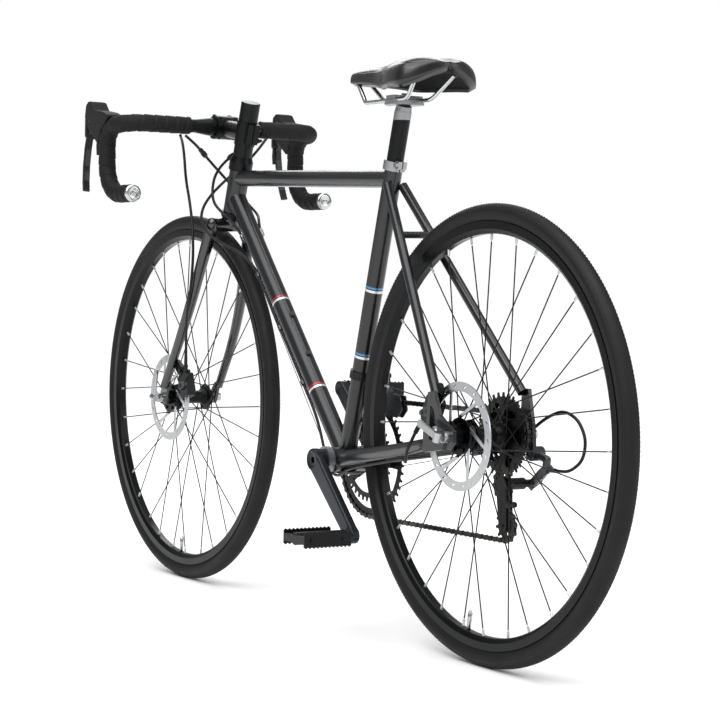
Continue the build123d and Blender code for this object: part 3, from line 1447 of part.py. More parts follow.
def front_derailleur_cage():
    """Two plates round the chain over the large ring, joined at the top and the tail."""
    outline = [(-112, 385), (-184, 381), (-190, 358), (-176, 345), (-112, 350)]
    outer_low = large_ring_y - 6.0
    inner_low = large_ring_y + 4.5
    outer = plate(outline, outer_low, outer_low + cage_thickness, 4.0)
    outer -= disc(bb, pitch_radius(large_ring_teeth) + 5.4, -80, 0)
    inner = plate(outline, inner_low, inner_low + cage_thickness, 4.0)
    inner -= disc(bb, 84.0, -80, 0)
    top = [(-124, 383), (-168, 380.5), (-168, 378), (-124, 380.5)]
    body = outer.solids().sort_by(SortBy.VOLUME)[-1] + inner.solids().sort_by(SortBy.VOLUME)[-1]
    body += plate(top, outer_low, inner_low + cage_thickness)
    body += ears(lower_pivot, 0, -5.0, 4, 7)
    return body


fd_outline = Plane(origin=(shifter_x - 5, 0, 0), x_dir=(0, 1, 0), z_dir=(1, 0, 0))
fd_ends = Pos(upper_pivot.Y, upper_pivot.Z) * Circle(4.4) + Pos(lower_pivot.Y, lower_pivot.Z) * Circle(4.4)
fd_face = make_hull(fd_ends.edges())
fd_face -= Pos(upper_pivot.Y, upper_pivot.Z) * Circle(2.0 + running)
fd_face -= Pos(lower_pivot.Y, lower_pivot.Z) * Circle(2.0 + running)
save("front_derailleur_body", front_derailleur_body())
save("front_derailleur_cage", front_derailleur_cage())
save("front_derailleur_link", extrude(fd_outline * fd_face, 10.0))
print("front derailleur pivots", upper_pivot, lower_pivot)

# ------------------------------------------------------------------ disc brakes
brake_stops = {
    "front": (Vector(404.0, front_rotor_y + 11.3, 392.0), Vector(-0.1, 0, 0.995)),
    "rear": (Vector(-404.0, rear_rotor_y + 11.3, 352.0), Vector(0.3, 0.35, -0.888)),
}
brake_pivots = {}


def caliper(name, axle, rotor_y, angle, anchor_from, anchor_to, blank):
    """A two-part body over the rotor with pads, a bracket to the frame and a cable stop."""
    radians = math.radians(angle)
    out = Vector(math.cos(radians), 0, math.sin(radians))
    around = Vector(-math.sin(radians), 0, math.cos(radians))
    place = Pos(*at_side(axle, rotor_y)) * Rot(0, -angle, 0)
    body = Pos(77, 0.25, 0) * Box(30, 17.5, 44)
    body = fillet(body.edges().filter_by(Axis.Y), 7.0)
    body += Pos(74, 5, 0) * Cylinder(13.0, 8.0, rotation=(90, 0, 0))
    body -= Pos(60, 0, 0) * Box(44, 4.6, 80)
    body = place * body
    pivot = axle + out * 74.0
    brake_pivots[name] = at_side(pivot, rotor_y + 11.3)
    stop, way = brake_stops[name]
    tab = link_plate(axle + out * 80.0 - around * 8.0, stop, 8.0, 5.5, rotor_y + 4.0, rotor_y + 9.1)
    tab -= place * Pos(60, 0, 0) * Box(44, 4.6, 80)
    body += tab
    body += rod(stop - way * 2, stop + way * 14, 3.6)
    body += disc(pivot, 4.0, rotor_y + 8, rotor_y + 14.4)
    pads = [place * Pos(72, side * 1.8, 0) * Box(15, 0.9, 26) for side in (left, right)]
    bracket = link_plate(anchor_from, anchor_to, 9.0, 9.0, rotor_y + 2.6, rotor_y + 10.0)
    bracket -= blank
    bracket = bracket.solids().sort_by(SortBy.VOLUME)[-1]
    body -= bracket
    bolt = disc(anchor_from, 4.2, rotor_y + 10.0 + gap, rotor_y + 13.0)
    return [body.solids().sort_by(SortBy.VOLUME)[-1], *pads, bracket, bolt]


def brake_arm(name, rotor_y):
    """An arm on the caliper's pivot that clamps the cable at its end."""
    pivot = brake_pivots[name]
    stop, way = brake_stops[name]
    anchor = Vector(stop.X - way.X * 21, 0, stop.Z - way.Z * 21)
    arm = link_plate(at_side(pivot, 0), anchor, 8.0, 4.5, rotor_y + 9.3, rotor_y + 13.3)
    arm += disc(anchor, 3.6, rotor_y + 9.3, rotor_y + 14.8)
    arm -= disc(at_side(pivot, 0), 4.0 + running, rotor_y, rotor_y + 20)
    return arm


blade_blank = rod(Vector(crown_centre.X + 93, 55.5, crown_centre.Z - 217),
                  Vector(front_axle.X - 13, 57.0, front_axle.Z + 21), 9.9, 7.9)
stay_blank = rod(stay_foot[left] - (at_side(seat_stay_top, 14.0) - stay_foot[left]) * 0.03,
                 at_side(seat_stay_top, 14.0), seat_stay_radius + gap / 2)
save("front_brake_caliper", *caliper("front", front_axle, front_rotor_y, 160.0,
                                     Vector(429.6, 0, 393.6), Vector(450.0, 0, 405.0), blade_blank))
save("rear_brake_caliper", *caliper("rear", rear_axle, rear_rotor_y, 26.0,
                                    Vector(-434.0, 0, 396.0), Vector(-446.0, 0, 408.0), stay_blank))
save("front_brake_arm", brake_arm("front", front_rotor_y))
save("rear_brake_arm", brake_arm("rear", rear_rotor_y))
print("brake arm pivots", brake_pivots)

# ------------------------------------------------------------------ cables
housing_radius = 2.5
wire_radius = 0.6


def on_down_tube(height):
    return bb + down_direction * ((height - bb.Z) / down_direction.Z)


front_stop, front_way = brake_stops["front"]
rear_stop, rear_way = brake_stops["rear"]
front_brake_route = [
    (bx + 6, 86, bz - 17.9), (393, 70, 812), (411, 57, 789), (417, 50, 745), (398, 50, 700),
    (374, 56, 655), (362, 60, 605), (365, 62, 550), (382, 62, 495), (400, 53, 447),
    tuple(front_stop + front_way * 14.1),
]
stop_height = 648.0
side_y = down_tube_radius + 4.1
under_way = Vector(0.7386, 0, -0.6742)  # square to the down tube, towards the ground
shift_stop = {
    left: on_down_tube(stop_height) + under_way * 17.2 + Vector(0, 10.2, 0),
    right: at_side(on_down_tube(stop_height), -side_y),
}
stop_top = {side: shift_stop[side] + down_direction * 7.1 for side in (left, right)}
left_shift_route = [
    (bx, -78, bz - 18.6), (378, -52, 806), (384, -18, 785), (372, 12, 757), (350, 30, 729),
    (330, 38, 702), (306, 34, 684), (289, 16, 664), tuple(stop_top[left]),
]
right_shift_route = [
    (bx, 78, bz - 18.6), (376, 50, 806), (398, 20, 788), (402, -12, 760), (380, -34, 728),
    (346, -44, 700), (306, -42, 681), (280, -29, 669), tuple(stop_top[right]),
]
clip_height = 590.0
clip = on_down_tube(clip_height) + Vector(9.75, 13.2, -8.9)
rear_brake_front_route = [
    (bx - 13.3, -82, bz - 13.2), (344, -62, 803), (356, -40, 775), (376, -10, 745), (380, 22, 712),
    (362, 46, 684), (332, 58, 658), (302, 52, 636), (268, 38, 622), (238, 20, 607), tuple(clip),
]
low_clip = on_down_tube(345.0) + Vector(9.75, 13.2, -8.9)
rear_brake_route = [
    tuple(clip - down_direction * 0.7), tuple(low_clip), (-50, 15, 268), (-76, 18, 247), (-108, 24, 247),
    (-140, 29, 261), (-190, 33, 271.5), (-240, 38.8, 279.0), (-290, 45, 287.0), (-345, 52.5, 296.0),
    (-375, 68, 292), (-393, 79, 312), tuple(rear_stop + rear_way * 14.1),
]
stay_stop = Vector(-380.0, -57.0, 303.9)
guide_block = Vector(bb.X + 2, 0, bb.Z - bb_shell_radius - 2.1)
wire_start = guide_block + Vector(-20, -9.5, -0.4)
stop_way = (stay_stop - wire_start).normalized()
gear_route = [
    tuple(stay_stop + stop_way * 7.1), (-412, -72.5, 308), (-444, -83, 322), (-475, -88, 344),
    (-508, -93, 367), (-546, -96, 380), (-581, -97, 368), (-600, -97, 340), (-597, -94, 309),
    tuple(adjuster_end + adjuster_way * 26),
    tuple(adjuster_end + adjuster_way * 0.1),
]
ferrules = [rod(point - down_direction * 7, point + down_direction * 7, 4.0) for point in shift_stop.values()]
front_barrel = rod(front_stop, front_stop + front_way * 14, 3.7)
rear_barrel = rod(rear_stop, rear_stop + rear_way * 14, 3.7)
save("front_brake_housing", cable(front_brake_route, housing_radius) - tape_blank - front_barrel)
bar_housings = [cable(route, housing_radius)
                for route in (left_shift_route, right_shift_route, rear_brake_front_route)]
for n in range(3):
    bar_housings[n] -= tape_blank + mirrored(tape_blank)
    bar_housings[n] -= ferrules[0] + ferrules[1]
save("steering_housings", *bar_housings)

wires = []
for side in (left, right):
    start = shift_stop[side] - down_direction * 7.1
    wires.append(rod(start, guide_block + Vector(21.0, side * 9.5, 0.4), wire_radius))
wires.append(rod(guide_block + Vector(-21.0, -9.5, -0.4), stay_stop - stop_way * 7.1, wire_radius))
wires.append(rod(guide_block + Vector(-20.1, -6.5, 4.0), Vector(clamp_centre.X - 10, -22, clamp_height - 7.6),
                 wire_radius))
stay_ferrule = rod(stay_stop - stop_way * 7, stay_stop + stop_way * 7, 3.6) - chain_stays[1]
save("frame_housings", cable(rear_brake_route, housing_radius) - rear_barrel,
     cable(gear_route, housing_radius) - knuckle - stay_ferrule, *wires)

fittings += ferrules
fittings.append(stay_ferrule)
fittings.append(Pos(*guide_block) * Box(40, 27, 4))
for height in (580.0, 490.0, 400.0):
    centre = on_down_tube(height) + Vector(9.75, 13.2, -8.9)
    band = rod(centre - down_direction * 4, centre + down_direction * 4, housing_radius + 1.6)
    band -= rod(centre - down_direction * 5, centre + down_direction * 5, housing_radius + gap / 2)
    fittings.append(band - down_blank)
save("frame_fittings", *fittings)
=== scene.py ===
import math

import bmesh
import bpy
import numpy as np
from mathutils import Matrix, Vector


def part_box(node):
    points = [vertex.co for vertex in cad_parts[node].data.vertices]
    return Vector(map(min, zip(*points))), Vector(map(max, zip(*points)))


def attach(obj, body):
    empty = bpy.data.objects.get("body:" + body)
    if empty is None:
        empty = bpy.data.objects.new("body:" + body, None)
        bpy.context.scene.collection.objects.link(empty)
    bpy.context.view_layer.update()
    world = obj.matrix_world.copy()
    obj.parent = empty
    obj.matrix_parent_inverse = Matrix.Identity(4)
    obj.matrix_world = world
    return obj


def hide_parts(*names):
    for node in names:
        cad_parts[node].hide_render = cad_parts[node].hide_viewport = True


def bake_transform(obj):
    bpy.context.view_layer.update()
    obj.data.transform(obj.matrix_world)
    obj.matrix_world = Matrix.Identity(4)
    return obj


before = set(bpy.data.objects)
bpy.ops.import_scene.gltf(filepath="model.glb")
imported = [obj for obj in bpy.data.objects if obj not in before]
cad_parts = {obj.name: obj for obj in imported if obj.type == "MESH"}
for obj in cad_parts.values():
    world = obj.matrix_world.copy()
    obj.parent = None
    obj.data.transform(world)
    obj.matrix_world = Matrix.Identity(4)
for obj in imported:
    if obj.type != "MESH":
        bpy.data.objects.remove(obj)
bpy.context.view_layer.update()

# ---------------------------------------------------------------- camera, floor and light
# The bicycle stands on a pale seamless studio floor. The camera is behind it, on its left,
# a little above the axles, under broad soft lights.
camera_place = Vector((-2.9119, 1.6986, 0.5603))
camera_yaw, camera_pitch, camera_roll = -0.5475, -0.0379, 0.0186
forward = Vector((math.cos(camera_yaw) * math.cos(camera_pitch),
                  math.sin(camera_yaw) * math.cos(camera_pitch),
                  math.sin(camera_pitch)))
level = forward.cross(Vector((0, 0, 1))).normalized()
upward = level.cross(forward)
camera_x = level * math.cos(camera_roll) + upward * math.sin(camera_roll)
camera_y = upward * math.cos(camera_roll) - level * math.sin(camera_roll)
camera = bpy.data.objects.new("camera", bpy.data.cameras.new("camera"))
bpy.context.scene.collection.objects.link(camera)
camera.matrix_world = Matrix((
    (camera_x[0], camera_y[0], -forward[0], camera_place[0]),
    (camera_x[1], camera_y[1], -forward[1], camera_place[1]),
    (camera_x[2], camera_y[2], -forward[2], camera_place[2]),
    (0, 0, 0, 1)))
camera.data.sensor_width = 36.0
camera.data.lens = 100.70
camera.data.clip_end = 200.0
bpy.context.scene.camera = camera
bpy.context.scene.view_settings.view_transform = "Standard"


def linear(hex_colour):
    """An sRGB hex colour as linear red, green, blue and alpha."""
    values = [int(hex_colour[n:n + 2], 16) / 255 for n in (1, 3, 5)]
    return tuple(v / 12.92 if v < 0.04045 else ((v + 0.055) / 1.055) ** 2.4 for v in values) + (1.0,)


def add(tree, kind, settings=(), links=()):
    """Adds a node, sets its properties and input values by name, and links its inputs."""
    new = tree.nodes.new(kind)
    for name, value in dict(settings).items():
        if hasattr(new, str(name)):
            setattr(new, name, value)
        else:
            new.inputs[name].default_value = value
    for name, source in dict(links).items():
        tree.links.new(source, new.inputs[name])
    return new


def surface(name, points, around=False, along=False, caps=False):
    """A mesh from a grid of points (rows along, columns around); a closed direction joins its last line to
    its first, and caps fill the two end rings with one fan each."""
    rows, columns = points.shape[:2]
    index = np.arange(rows * columns).reshape(rows, columns)
    down = np.roll(index, -1, 0) if along else index[1:]
    here = index if along else index[:-1]
    right, low_right = np.roll(here, -1, 1), np.roll(down, -1, 1)
    quads = np.stack([here, right, low_right, down], -1)
    quads = quads if around else quads[:, :-1]
    vertices = points.reshape(-1, 3)
    faces = quads.reshape(-1, 4).tolist()
    if caps:
        vertices = np.vstack([vertices, points[0].mean(0), points[-1].mean(0)])
        first, last = rows * columns, rows * columns + 1
        ring = index[0]
        faces += np.stack([np.roll(ring, -1), ring, np.full(columns, first)], -1).tolist()
        ring = index[-1]
        faces += np.stack([ring, np.roll(ring, -1), np.full(columns, last)], -1).tolist()
    mesh = bpy.data.meshes.new(name)
    mesh.from_pydata(vertices.tolist(), [], faces)
    mesh.polygons.foreach_set("use_smooth", np.ones(len(faces), bool))
    mesh.update()
    piece = bpy.data.objects.new(name, mesh)
    bpy.context.scene.collection.objects.link(piece)
    return piece


def wear(obj, material):
    """Puts one material in every slot of an object."""
    if not obj.material_slots:
        obj.data.materials.append(material)
    for place in obj.material_slots:
        place.material = material


def plain(name, colour, roughness):
    """A plain matt surface for the studio, which isn't part of the bicycle."""
    material = bpy.data.materials.new(name)
    material.use_nodes = True
    shader = material.node_tree.nodes["Principled BSDF"]
    shader.inputs["Base Color"].default_value = linear(colour)
    shader.inputs["Roughness"].default_value = roughness
    return material


floor_half = 30.0
corners = np.array([[[-1, -1, 0], [1, -1, 0]], [[-1, 1, 0], [1, 1, 0]]], float) * floor_half
floor = surface("floor", corners)
wear(floor, plain("studio floor", "#f6f6f6", 0.9))

world = bpy.data.worlds.new("studio")
bpy.context.scene.world = world
world.use_nodes = True
# The backdrop is white to the eye, and lights the bicycle less than that, so that its blacks stay deep.
backdrop = world.node_tree
backdrop.nodes["Background"].inputs["Color"].default_value = linear("#ffffff")
backdrop.nodes["Background"].inputs["Strength"].default_value = 0.3
seen = add(backdrop, "ShaderNodeBackground", {"Color": linear("#ffffff"), "Strength": 1.0})
ray = add(backdrop, "ShaderNodeLightPath")
both = add(backdrop, "ShaderNodeMixShader", {}, {0: ray.outputs["Is Camera Ray"], 2: seen.outputs[0],
                                                1: backdrop.nodes["Background"].outputs[0]})
backdrop.links.new(both.outputs[0], backdrop.nodes["World Output"].inputs["Surface"])
overhead = bpy.data.lights.new("overhead", "SUN")
overhead.energy = 3.1
overhead.angle = 1.2
overhead_lamp = bpy.data.objects.new("overhead", overhead)
bpy.context.scene.collection.objects.link(overhead_lamp)
overhead_lamp.rotation_euler = (math.radians(-14.0), math.radians(-12.0), 0.0)


def softbox(name, place, size, power):
    """A square area lamp aimed at the middle of the bicycle."""
    lamp = bpy.data.lights.new(name, "AREA")
    lamp.size = size
    lamp.energy = power
    box = bpy.data.objects.new(name, lamp)
    bpy.context.scene.collection.objects.link(box)
    box.location = place
    box.rotation_euler = (Vector((0, 0, 0.5)) - Vector(place)).to_track_quat("-Z", "Y").to_euler()


softbox("key", (-2.2, 3.4, 3.4), 2.6, 70.0)
softbox("fill", (-3.6, -2.4, 2.2), 2.2, 36.0)
softbox("rim", (3.2, -1.6, 3.0), 2.0, 40.0)

# ---------------------------------------------------------------- painted frame
# Steel tubes, brazed and sprayed in satin charcoal with a fine metal flake, under clear lacquer.
# The down tube and seat tube carry plain trim bands, laid on before the lacquer.
frame_colours = ("#1d1e20", "#2a2b2e")
flake = 1.2  # millimetres, coarser than real flake so that it shows


def finish(name, colours, metallic, roughness, grain, bump=0.0, coat=0.0, bands=(), along=(0, 0, 1),
           smudge=90.0, spread=0.06, centre=None):
    """A finish whose colour drifts between two tones on a grain of that many millimetres, whose roughness
    varies over smudges of that many millimetres, and whose surface is bumpy by `bump` millimetres.
    bands are (from, to, colour) in millimetres, measured along a direction, or outwards from a centre."""
    material = bpy.data.materials.new(name)
    material.use_nodes = True
    tree = material.node_tree
    shader = tree.nodes["Principled BSDF"]
    place = add(tree, "ShaderNodeTexCoord").outputs["Object"]
    fine = add(tree, "ShaderNodeTexNoise", {"Scale": 1000.0 / grain, "Detail": 3.0}, {"Vector": place})
    broad = add(tree, "ShaderNodeTexNoise", {"Scale": 1000.0 / smudge, "Detail": 2.0}, {"Vector": place})
    tone = add(tree, "ShaderNodeMix", {"data_type": "RGBA"}, {0: fine.outputs["Fac"]})
    tone.inputs[6].default_value = linear(colours[0])
    tone.inputs[7].default_value = linear(colours[1])
    colour = tone.outputs[2]
    if bands:
        if centre is None:
            measure = add(tree, "ShaderNodeVectorMath", {"operation": "DOT_PRODUCT"}, {0: place})
            measure.inputs[1].default_value = [c * 1000.0 for c in along]
            measure = measure.outputs["Value"]
        else:
            flat = add(tree, "ShaderNodeVectorMath", {"operation": "MULTIPLY"}, {0: place})
            flat.inputs[1].default_value = (1000.0, 0.0, 1000.0)
            measure = add(tree, "ShaderNodeVectorMath", {"operation": "DISTANCE"}, {0: flat.outputs[0]})
            measure.inputs[1].default_value = (centre[0] * 1000.0, 0.0, centre[2] * 1000.0)
            measure = measure.outputs["Value"]
        for low, high, shade in bands:
            inside = add(tree, "ShaderNodeMath", {"operation": "COMPARE", 1: (low + high) / 2,
                                                  2: (high - low) / 2}, {0: measure})
            band = add(tree, "ShaderNodeMix", {"data_type": "RGBA"}, {0: inside.outputs[0], 6: colour})
            band.inputs[7].default_value = linear(shade)
            colour = band.outputs[2]
    tree.links.new(colour, shader.inputs["Base Color"])
    gloss = add(tree, "ShaderNodeMapRange", {"From Min": 0.3, "From Max": 0.7,
                                             "To Min": roughness - spread, "To Max": roughness + spread},
                {"Value": broad.outputs["Fac"]})
    tree.links.new(gloss.outputs["Result"], shader.inputs["Roughness"])
    shader.inputs["Metallic"].default_value = metallic
    shader.inputs["Specular IOR Level"].default_value = 0.5 if coat or metallic else 0.3
    shader.inputs["Coat Weight"].default_value = coat
    shader.inputs["Coat Roughness"].default_value = 0.12
    if bump:
        relief = add(tree, "ShaderNodeBump", {"Strength": 1.0, "Distance": bump / 1000.0},
                     {"Height": fine.outputs["Fac"]})
        tree.links.new(relief.outputs["Normal"], shader.inputs["Normal"])
    return material


def dress(material, *names):
    """Gives a finish to the frame's own nodes, which keep their shape."""
    for name in names:
        wear(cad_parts[name], material)


# Lacquered charcoal flake: the flake glints under a clear coat.
frame_paint = finish("charcoal flake lacquer", frame_colours, 0.55, 0.36, flake, coat=0.45)
dress(frame_paint, "head_tube", "top_tube", "dropouts", "stays", "bottom_bracket_shell")
bottom_bracket = Vector((-0.090, 0.0, 0.273))

# ---------------------------------------------------------------- down tube and seat tube bands
# The same lacquered steel tubes. Narrow white, red and blue trim bands are printed round them,
# square to each tube, as plain generic trim.
down_axis = Vector((0.40416, 0.0, 0.442)).normalized()
down_start = bottom_bracket.dot(down_axis) * 1000.0


def trim_bands(at, gap_between, accent):
    """A pair of narrow bands, white then an accent colour, from a distance along a tube in millimetres."""
    return [(at, at + 4.0, "#d9dadb"), (at + gap_between, at + gap_between + 3.0, accent)]


down_bands = trim_bands(down_start + 142.0, 6.0, "#a8262b") + trim_bands(down_start + 337.0, 6.0, "#a8262b")
dress(finish("banded charcoal lacquer", frame_colours, 0.55, 0.36, flake, coat=0.45,
             bands=down_bands, along=down_axis), "down_tube")
seat_axis = Vector((-math.cos(math.radians(74.8)), 0.0, math.sin(math.radians(74.8))))
seat_start = bottom_bracket.dot(seat_axis) * 1000.0
seat_bands = trim_bands(seat_start + 174.0, 6.0, "#3f86b8") + trim_bands(seat_start + 285.0, 6.0, "#3f86b8")
# The seat tube has the frame's charcoal paint. Its two tones here are darker than the frame's, as painted shade
# where it stands further back.
dress(finish("banded charcoal lacquer in painted shade", ("#0f1011", "#1a1b1d"), 0.4, 0.3, flake, coat=0.5,
             bands=seat_bands, along=seat_axis), "seat_tube")

# ---------------------------------------------------------------- fork
# A lugged steel fork with straight tapered blades, sprayed gloss black over primer. The lacquer
# pools smoothly, so it mirrors the softboxes in long sharp streaks.
dress(finish("gloss black lacquer", ("#08090a", "#0c0d0e"), 0.0, 0.2, 3.0, coat=0.9), "fork")

# ---------------------------------------------------------------- headset, stem and handlebar
# Turned aluminium spacers and cups, a forged stem and a drawn handlebar, shot-blasted and anodised
# black. The top cap is polished and clear anodised; the bottom bracket cups are silver.
steer_axis = Vector((-math.cos(math.radians(72.5)), 0.0, math.sin(math.radians(72.5))))
steer_base = Vector((0.3233, 0.0, 0.686)).dot(steer_axis) * 1000.0
black_anodised = finish("black anodised aluminium", ("#111213", "#191a1b"), 0.75, 0.36, 0.8, bump=0.02)
dress(black_anodised, "stem", "handlebar")
cap_low = steer_base + (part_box("headset_spacers")[1].z - 0.686) / steer_axis.z * 1000.0 - 5.0
dress(finish("black anodised rings", ("#101112", "#181919"), 0.7, 0.34, 0.8,
             bands=[(cap_low, cap_low + 40.0, "#7d7f82")], along=steer_axis), "headset_spacers")
dress(finish("turned bearing cups", ("#141516", "#1c1d1e"), 0.8, 0.32, 0.8,
             bands=[(0.0, 420.0, "#8a8c8f")]), "bearing_cups")

# ---------------------------------------------------------------- handlebar tape
# Padded tape wound from the plugs up to the clamp, each turn lapping the one below, with fine
# ribs moulded along it. Polished plugs close the ends of the bar.
bar_x, bar_z = 0.363291, 0.839081
grip_radius = 0.0159
grip_offset = 0.195
turn_width = 0.021
tape_columns = 48
bar_corners = np.array([
    (bar_x, 0.072, bar_z), (bar_x, grip_offset, bar_z), (bar_x + 0.082, grip_offset, bar_z - 0.006),
    (bar_x + 0.080, grip_offset, bar_z - 0.127), (bar_x - 0.029, grip_offset, bar_z - 0.127)])
bar_bends = (0.042, 0.036, 0.058)


def bent_bar(corners, bends, step):
    """Points every `step` along straight runs, joined by arcs of the bend radii that touch both runs."""
    runs, start = [], corners[0]
    for corner, after, bend in zip(corners[1:-1], corners[2:], bends):
        into = (corner - start) / np.linalg.norm(corner - start)
        out = (after - corner) / np.linalg.norm(after - corner)
        half = math.acos(np.clip(into @ out, -1, 1)) / 2
        first = corner - into * bend * math.tan(half)
        runs.append(np.linspace(start, first, max(2, int(np.linalg.norm(first - start) / step)))[:-1])
        side = out - into * (into @ out)
        centre = first + bend * side / np.linalg.norm(side)
        swing = np.linspace(0, 2 * half, max(3, int(2 * half * bend / step)))[:, None]
        runs.append(centre + np.sin(swing) * into * bend + np.cos(swing) * (first - centre))
        start = runs[-1][-1]
        runs[-1] = runs[-1][:-1]
    runs.append(np.linspace(start, corners[-1], max(2, int(np.linalg.norm(corners[-1] - start) / step))))
    return np.vstack(runs)


def carried(path, radii, columns):
    """A round profile carried along a path, its radius given per row and column. The frame of each ring is
    turned from the last by the smallest rotation, so that the tube doesn't twist."""
    tangent = np.gradient(path, axis=0)
    tangent /= np.linalg.norm(tangent, axis=1, keepdims=True)
    normals = np.zeros_like(path)
    guide = np.cross(tangent[0], (0.0, 0.0, 1.0))
    guide = guide if np.linalg.norm(guide) > 1e-6 else np.array((0.0, 1.0, 0.0))
    for n, way in enumerate(tangent):
        guide = guide - way * (guide @ way)
        guide = guide / np.linalg.norm(guide)
        normals[n] = guide
    second = np.cross(tangent, normals)
    turn = np.linspace(0, 2 * math.pi, columns, endpoint=False)
    ring = np.cos(turn)[None, :, None] * normals[:, None] + np.sin(turn)[None, :, None] * second[:, None]
    return path[:, None] + ring * radii[..., None]


def tape_radii(length, columns):
    """Radius of the wound tape: each turn climbs from its lapped edge to its free edge along a helix, and
    small ribs run round with it."""
    turn = np.linspace(0, 1, columns, endpoint=False)
    phase = length[:, None] / turn_width + turn[None]
    lap = phase % 1.0
    climb = 0.0009 * lap - 0.0013 * np.exp(-((lap - 0.03) / 0.05) ** 2)
    ribs = 0.0003 * np.sin(2 * math.pi * lap * 6)
    return grip_radius - 0.0010 + climb + ribs


# Polyurethane foam tape: nearly matt, with a dry sheen on the ribs.
tape_finish = finish("black cork-foam tape", ("#080808", "#111112"), 0.0, 0.68, 1.1, bump=0.12)
plug_finish = finish("polished plug", ("#b4b6b8", "#c9cbcd"), 1.0, 0.2, 2.0)
for side, mirror in (("left", 1.0), ("right", -1.0)):
    line = bent_bar(bar_corners, bar_bends, 0.0012)
    distance = np.concatenate([[0], np.cumsum(np.linalg.norm(np.diff(line, axis=0), axis=1))])
    skin = carried(line, tape_radii(distance, tape_columns), tape_columns)
    skin[..., 1] *= mirror
    tape = surface(f"{side}_tape", skin if mirror > 0 else skin[:, ::-1], around=True, caps=True)
    wear(tape, tape_finish)
    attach(tape, "steering")
    end = np.array((bar_x - 0.030, mirror * grip_offset, bar_z - 0.127))
    profile = np.array([(0.0012, 0.0155), (-0.0012, 0.0154), (-0.0032, 0.0140), (-0.0044, 0.0112),
                        (-0.0046, 0.0080), (-0.0036, 0.0064), (-0.0036, 0.0030), (-0.0044, 0.0022)])
    turn = np.linspace(0, 2 * math.pi, 40, endpoint=False)
    plug_points = np.stack([end[0] + profile[:, :1] + 0 * turn, end[1] + profile[:, 1:] * np.cos(turn),
                            end[2] + profile[:, 1:] * np.sin(turn)], -1)
    plug = surface(f"{side}_bar_plug", plug_points[:, ::-1], around=True, caps=True)
    wear(plug, plug_finish)
    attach(plug, "steering")
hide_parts("bar_tape")

# ---------------------------------------------------------------- hoods, levers and paddles
# Soft rubber hoods stretched over the lever bodies, with a fine moulded grain for grip. The
# levers are die-cast and painted satin black with a dark grey name plate left plain.
hood_rubber = finish("moulded hood rubber", ("#0d0d0e", "#151516"), 0.0, 0.7, 0.9, bump=0.15)


def softened(node, name, body, voxel, rounds, material):
    """A copy of a CAD node with its edges rounded off as a mould or a forge leaves them: the merged copy is
    rebuilt on a grid of `voxel` millimetres, then each point moves halfway to its neighbours' mean, so many
    rounds over."""
    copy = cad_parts[node].data.copy()
    loose = bmesh.new()
    loose.from_mesh(copy)
    bmesh.ops.remove_doubles(loose, verts=loose.verts, dist=1e-6)
    loose.to_mesh(copy)
    loose.free()
    holder = bpy.data.objects.new(name + "_blank", copy)
    bpy.context.scene.collection.objects.link(holder)
    grid = holder.modifiers.new("grid", "REMESH")
    grid.mode = "VOXEL"
    grid.voxel_size = voxel / 1000.0
    grid.use_smooth_shade = True
    smooth = holder.modifiers.new("smooth", "SMOOTH")
    smooth.factor = 0.5
    smooth.iterations = rounds
    bpy.context.view_layer.update()
    rounded = bpy.data.meshes.new_from_object(holder.evaluated_get(bpy.context.evaluated_depsgraph_get()))
    bpy.data.objects.remove(holder)
    rounded.polygons.foreach_set("use_smooth", np.ones(len(rounded.polygons), bool))
    piece = bpy.data.objects.new(name, rounded)
    bpy.context.scene.collection.objects.link(piece)
    rounded.materials.clear()
    wear(piece, material)
    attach(piece, body)
    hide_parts(node)
    return piece


softened("brake_hoods", "rubber_hoods", "steering", 1.4, 14, hood_rubber)
lever_finish = finish("satin lever paint", ("#141516", "#202123"), 0.5, 0.36, 1.0, coat=0.3,
                      bands=[((bar_z - 0.022) * 1000.0, (bar_z + 0.016) * 1000.0, "#3a3d41")])
for side in ("left", "right"):
    softened(f"{side}_brake_lever", f"{side}_lever_casting", f"{side}_brake_lever", 0.7, 5, lever_finish)
dress(black_anodised, "left_shift_paddle", "right_shift_paddle")

# ---------------------------------------------------------------- cable housings
# Lined steel housings with a smooth black PVC jacket. Three loop from the levers to the frame;
# the others are clipped to the fork, the down tube and the stays.
housing_jacket = finish("black housing jacket", ("#0c0c0d", "#121213"), 0.0, 0.4, 4.0, smudge=30.0)
dress(housing_jacket, "frame_housings", "front_brake_housing")
housing_routes = {
    "shift_housing_to_left_stop": [
        (bar_x, -0.078, bar_z - 0.0186), (0.378, -0.052, 0.806), (0.384, -0.018, 0.785),
        (0.372, 0.012, 0.757), (0.350, 0.030, 0.729), (0.330, 0.038, 0.702), (0.306, 0.034, 0.684),
        (0.289, 0.016, 0.664), (0.2704, 0.0102, 0.6416)],
    "shift_housing_to_right_stop": [
        (bar_x, 0.078, bar_z - 0.0186), (0.376, 0.050, 0.806), (0.398, 0.020, 0.788),
        (0.402, -0.012, 0.760), (0.380, -0.034, 0.728), (0.346, -0.044, 0.700), (0.306, -0.042, 0.681),
        (0.280, -0.029, 0.669), (0.2577, -0.020, 0.6532)],
    "rear_brake_front_housing": [
        (bar_x - 0.0133, -0.082, bar_z - 0.0132), (0.344, -0.062, 0.803), (0.356, -0.040, 0.775),
        (0.376, -0.010, 0.745), (0.380, 0.022, 0.712), (0.362, 0.046, 0.684), (0.332, 0.058, 0.658),
        (0.302, 0.052, 0.636), (0.268, 0.038, 0.622), (0.238, 0.020, 0.607), (0.2096, 0.0132, 0.5811)],
}
housing_radius = 0.0025
housing_columns = 20
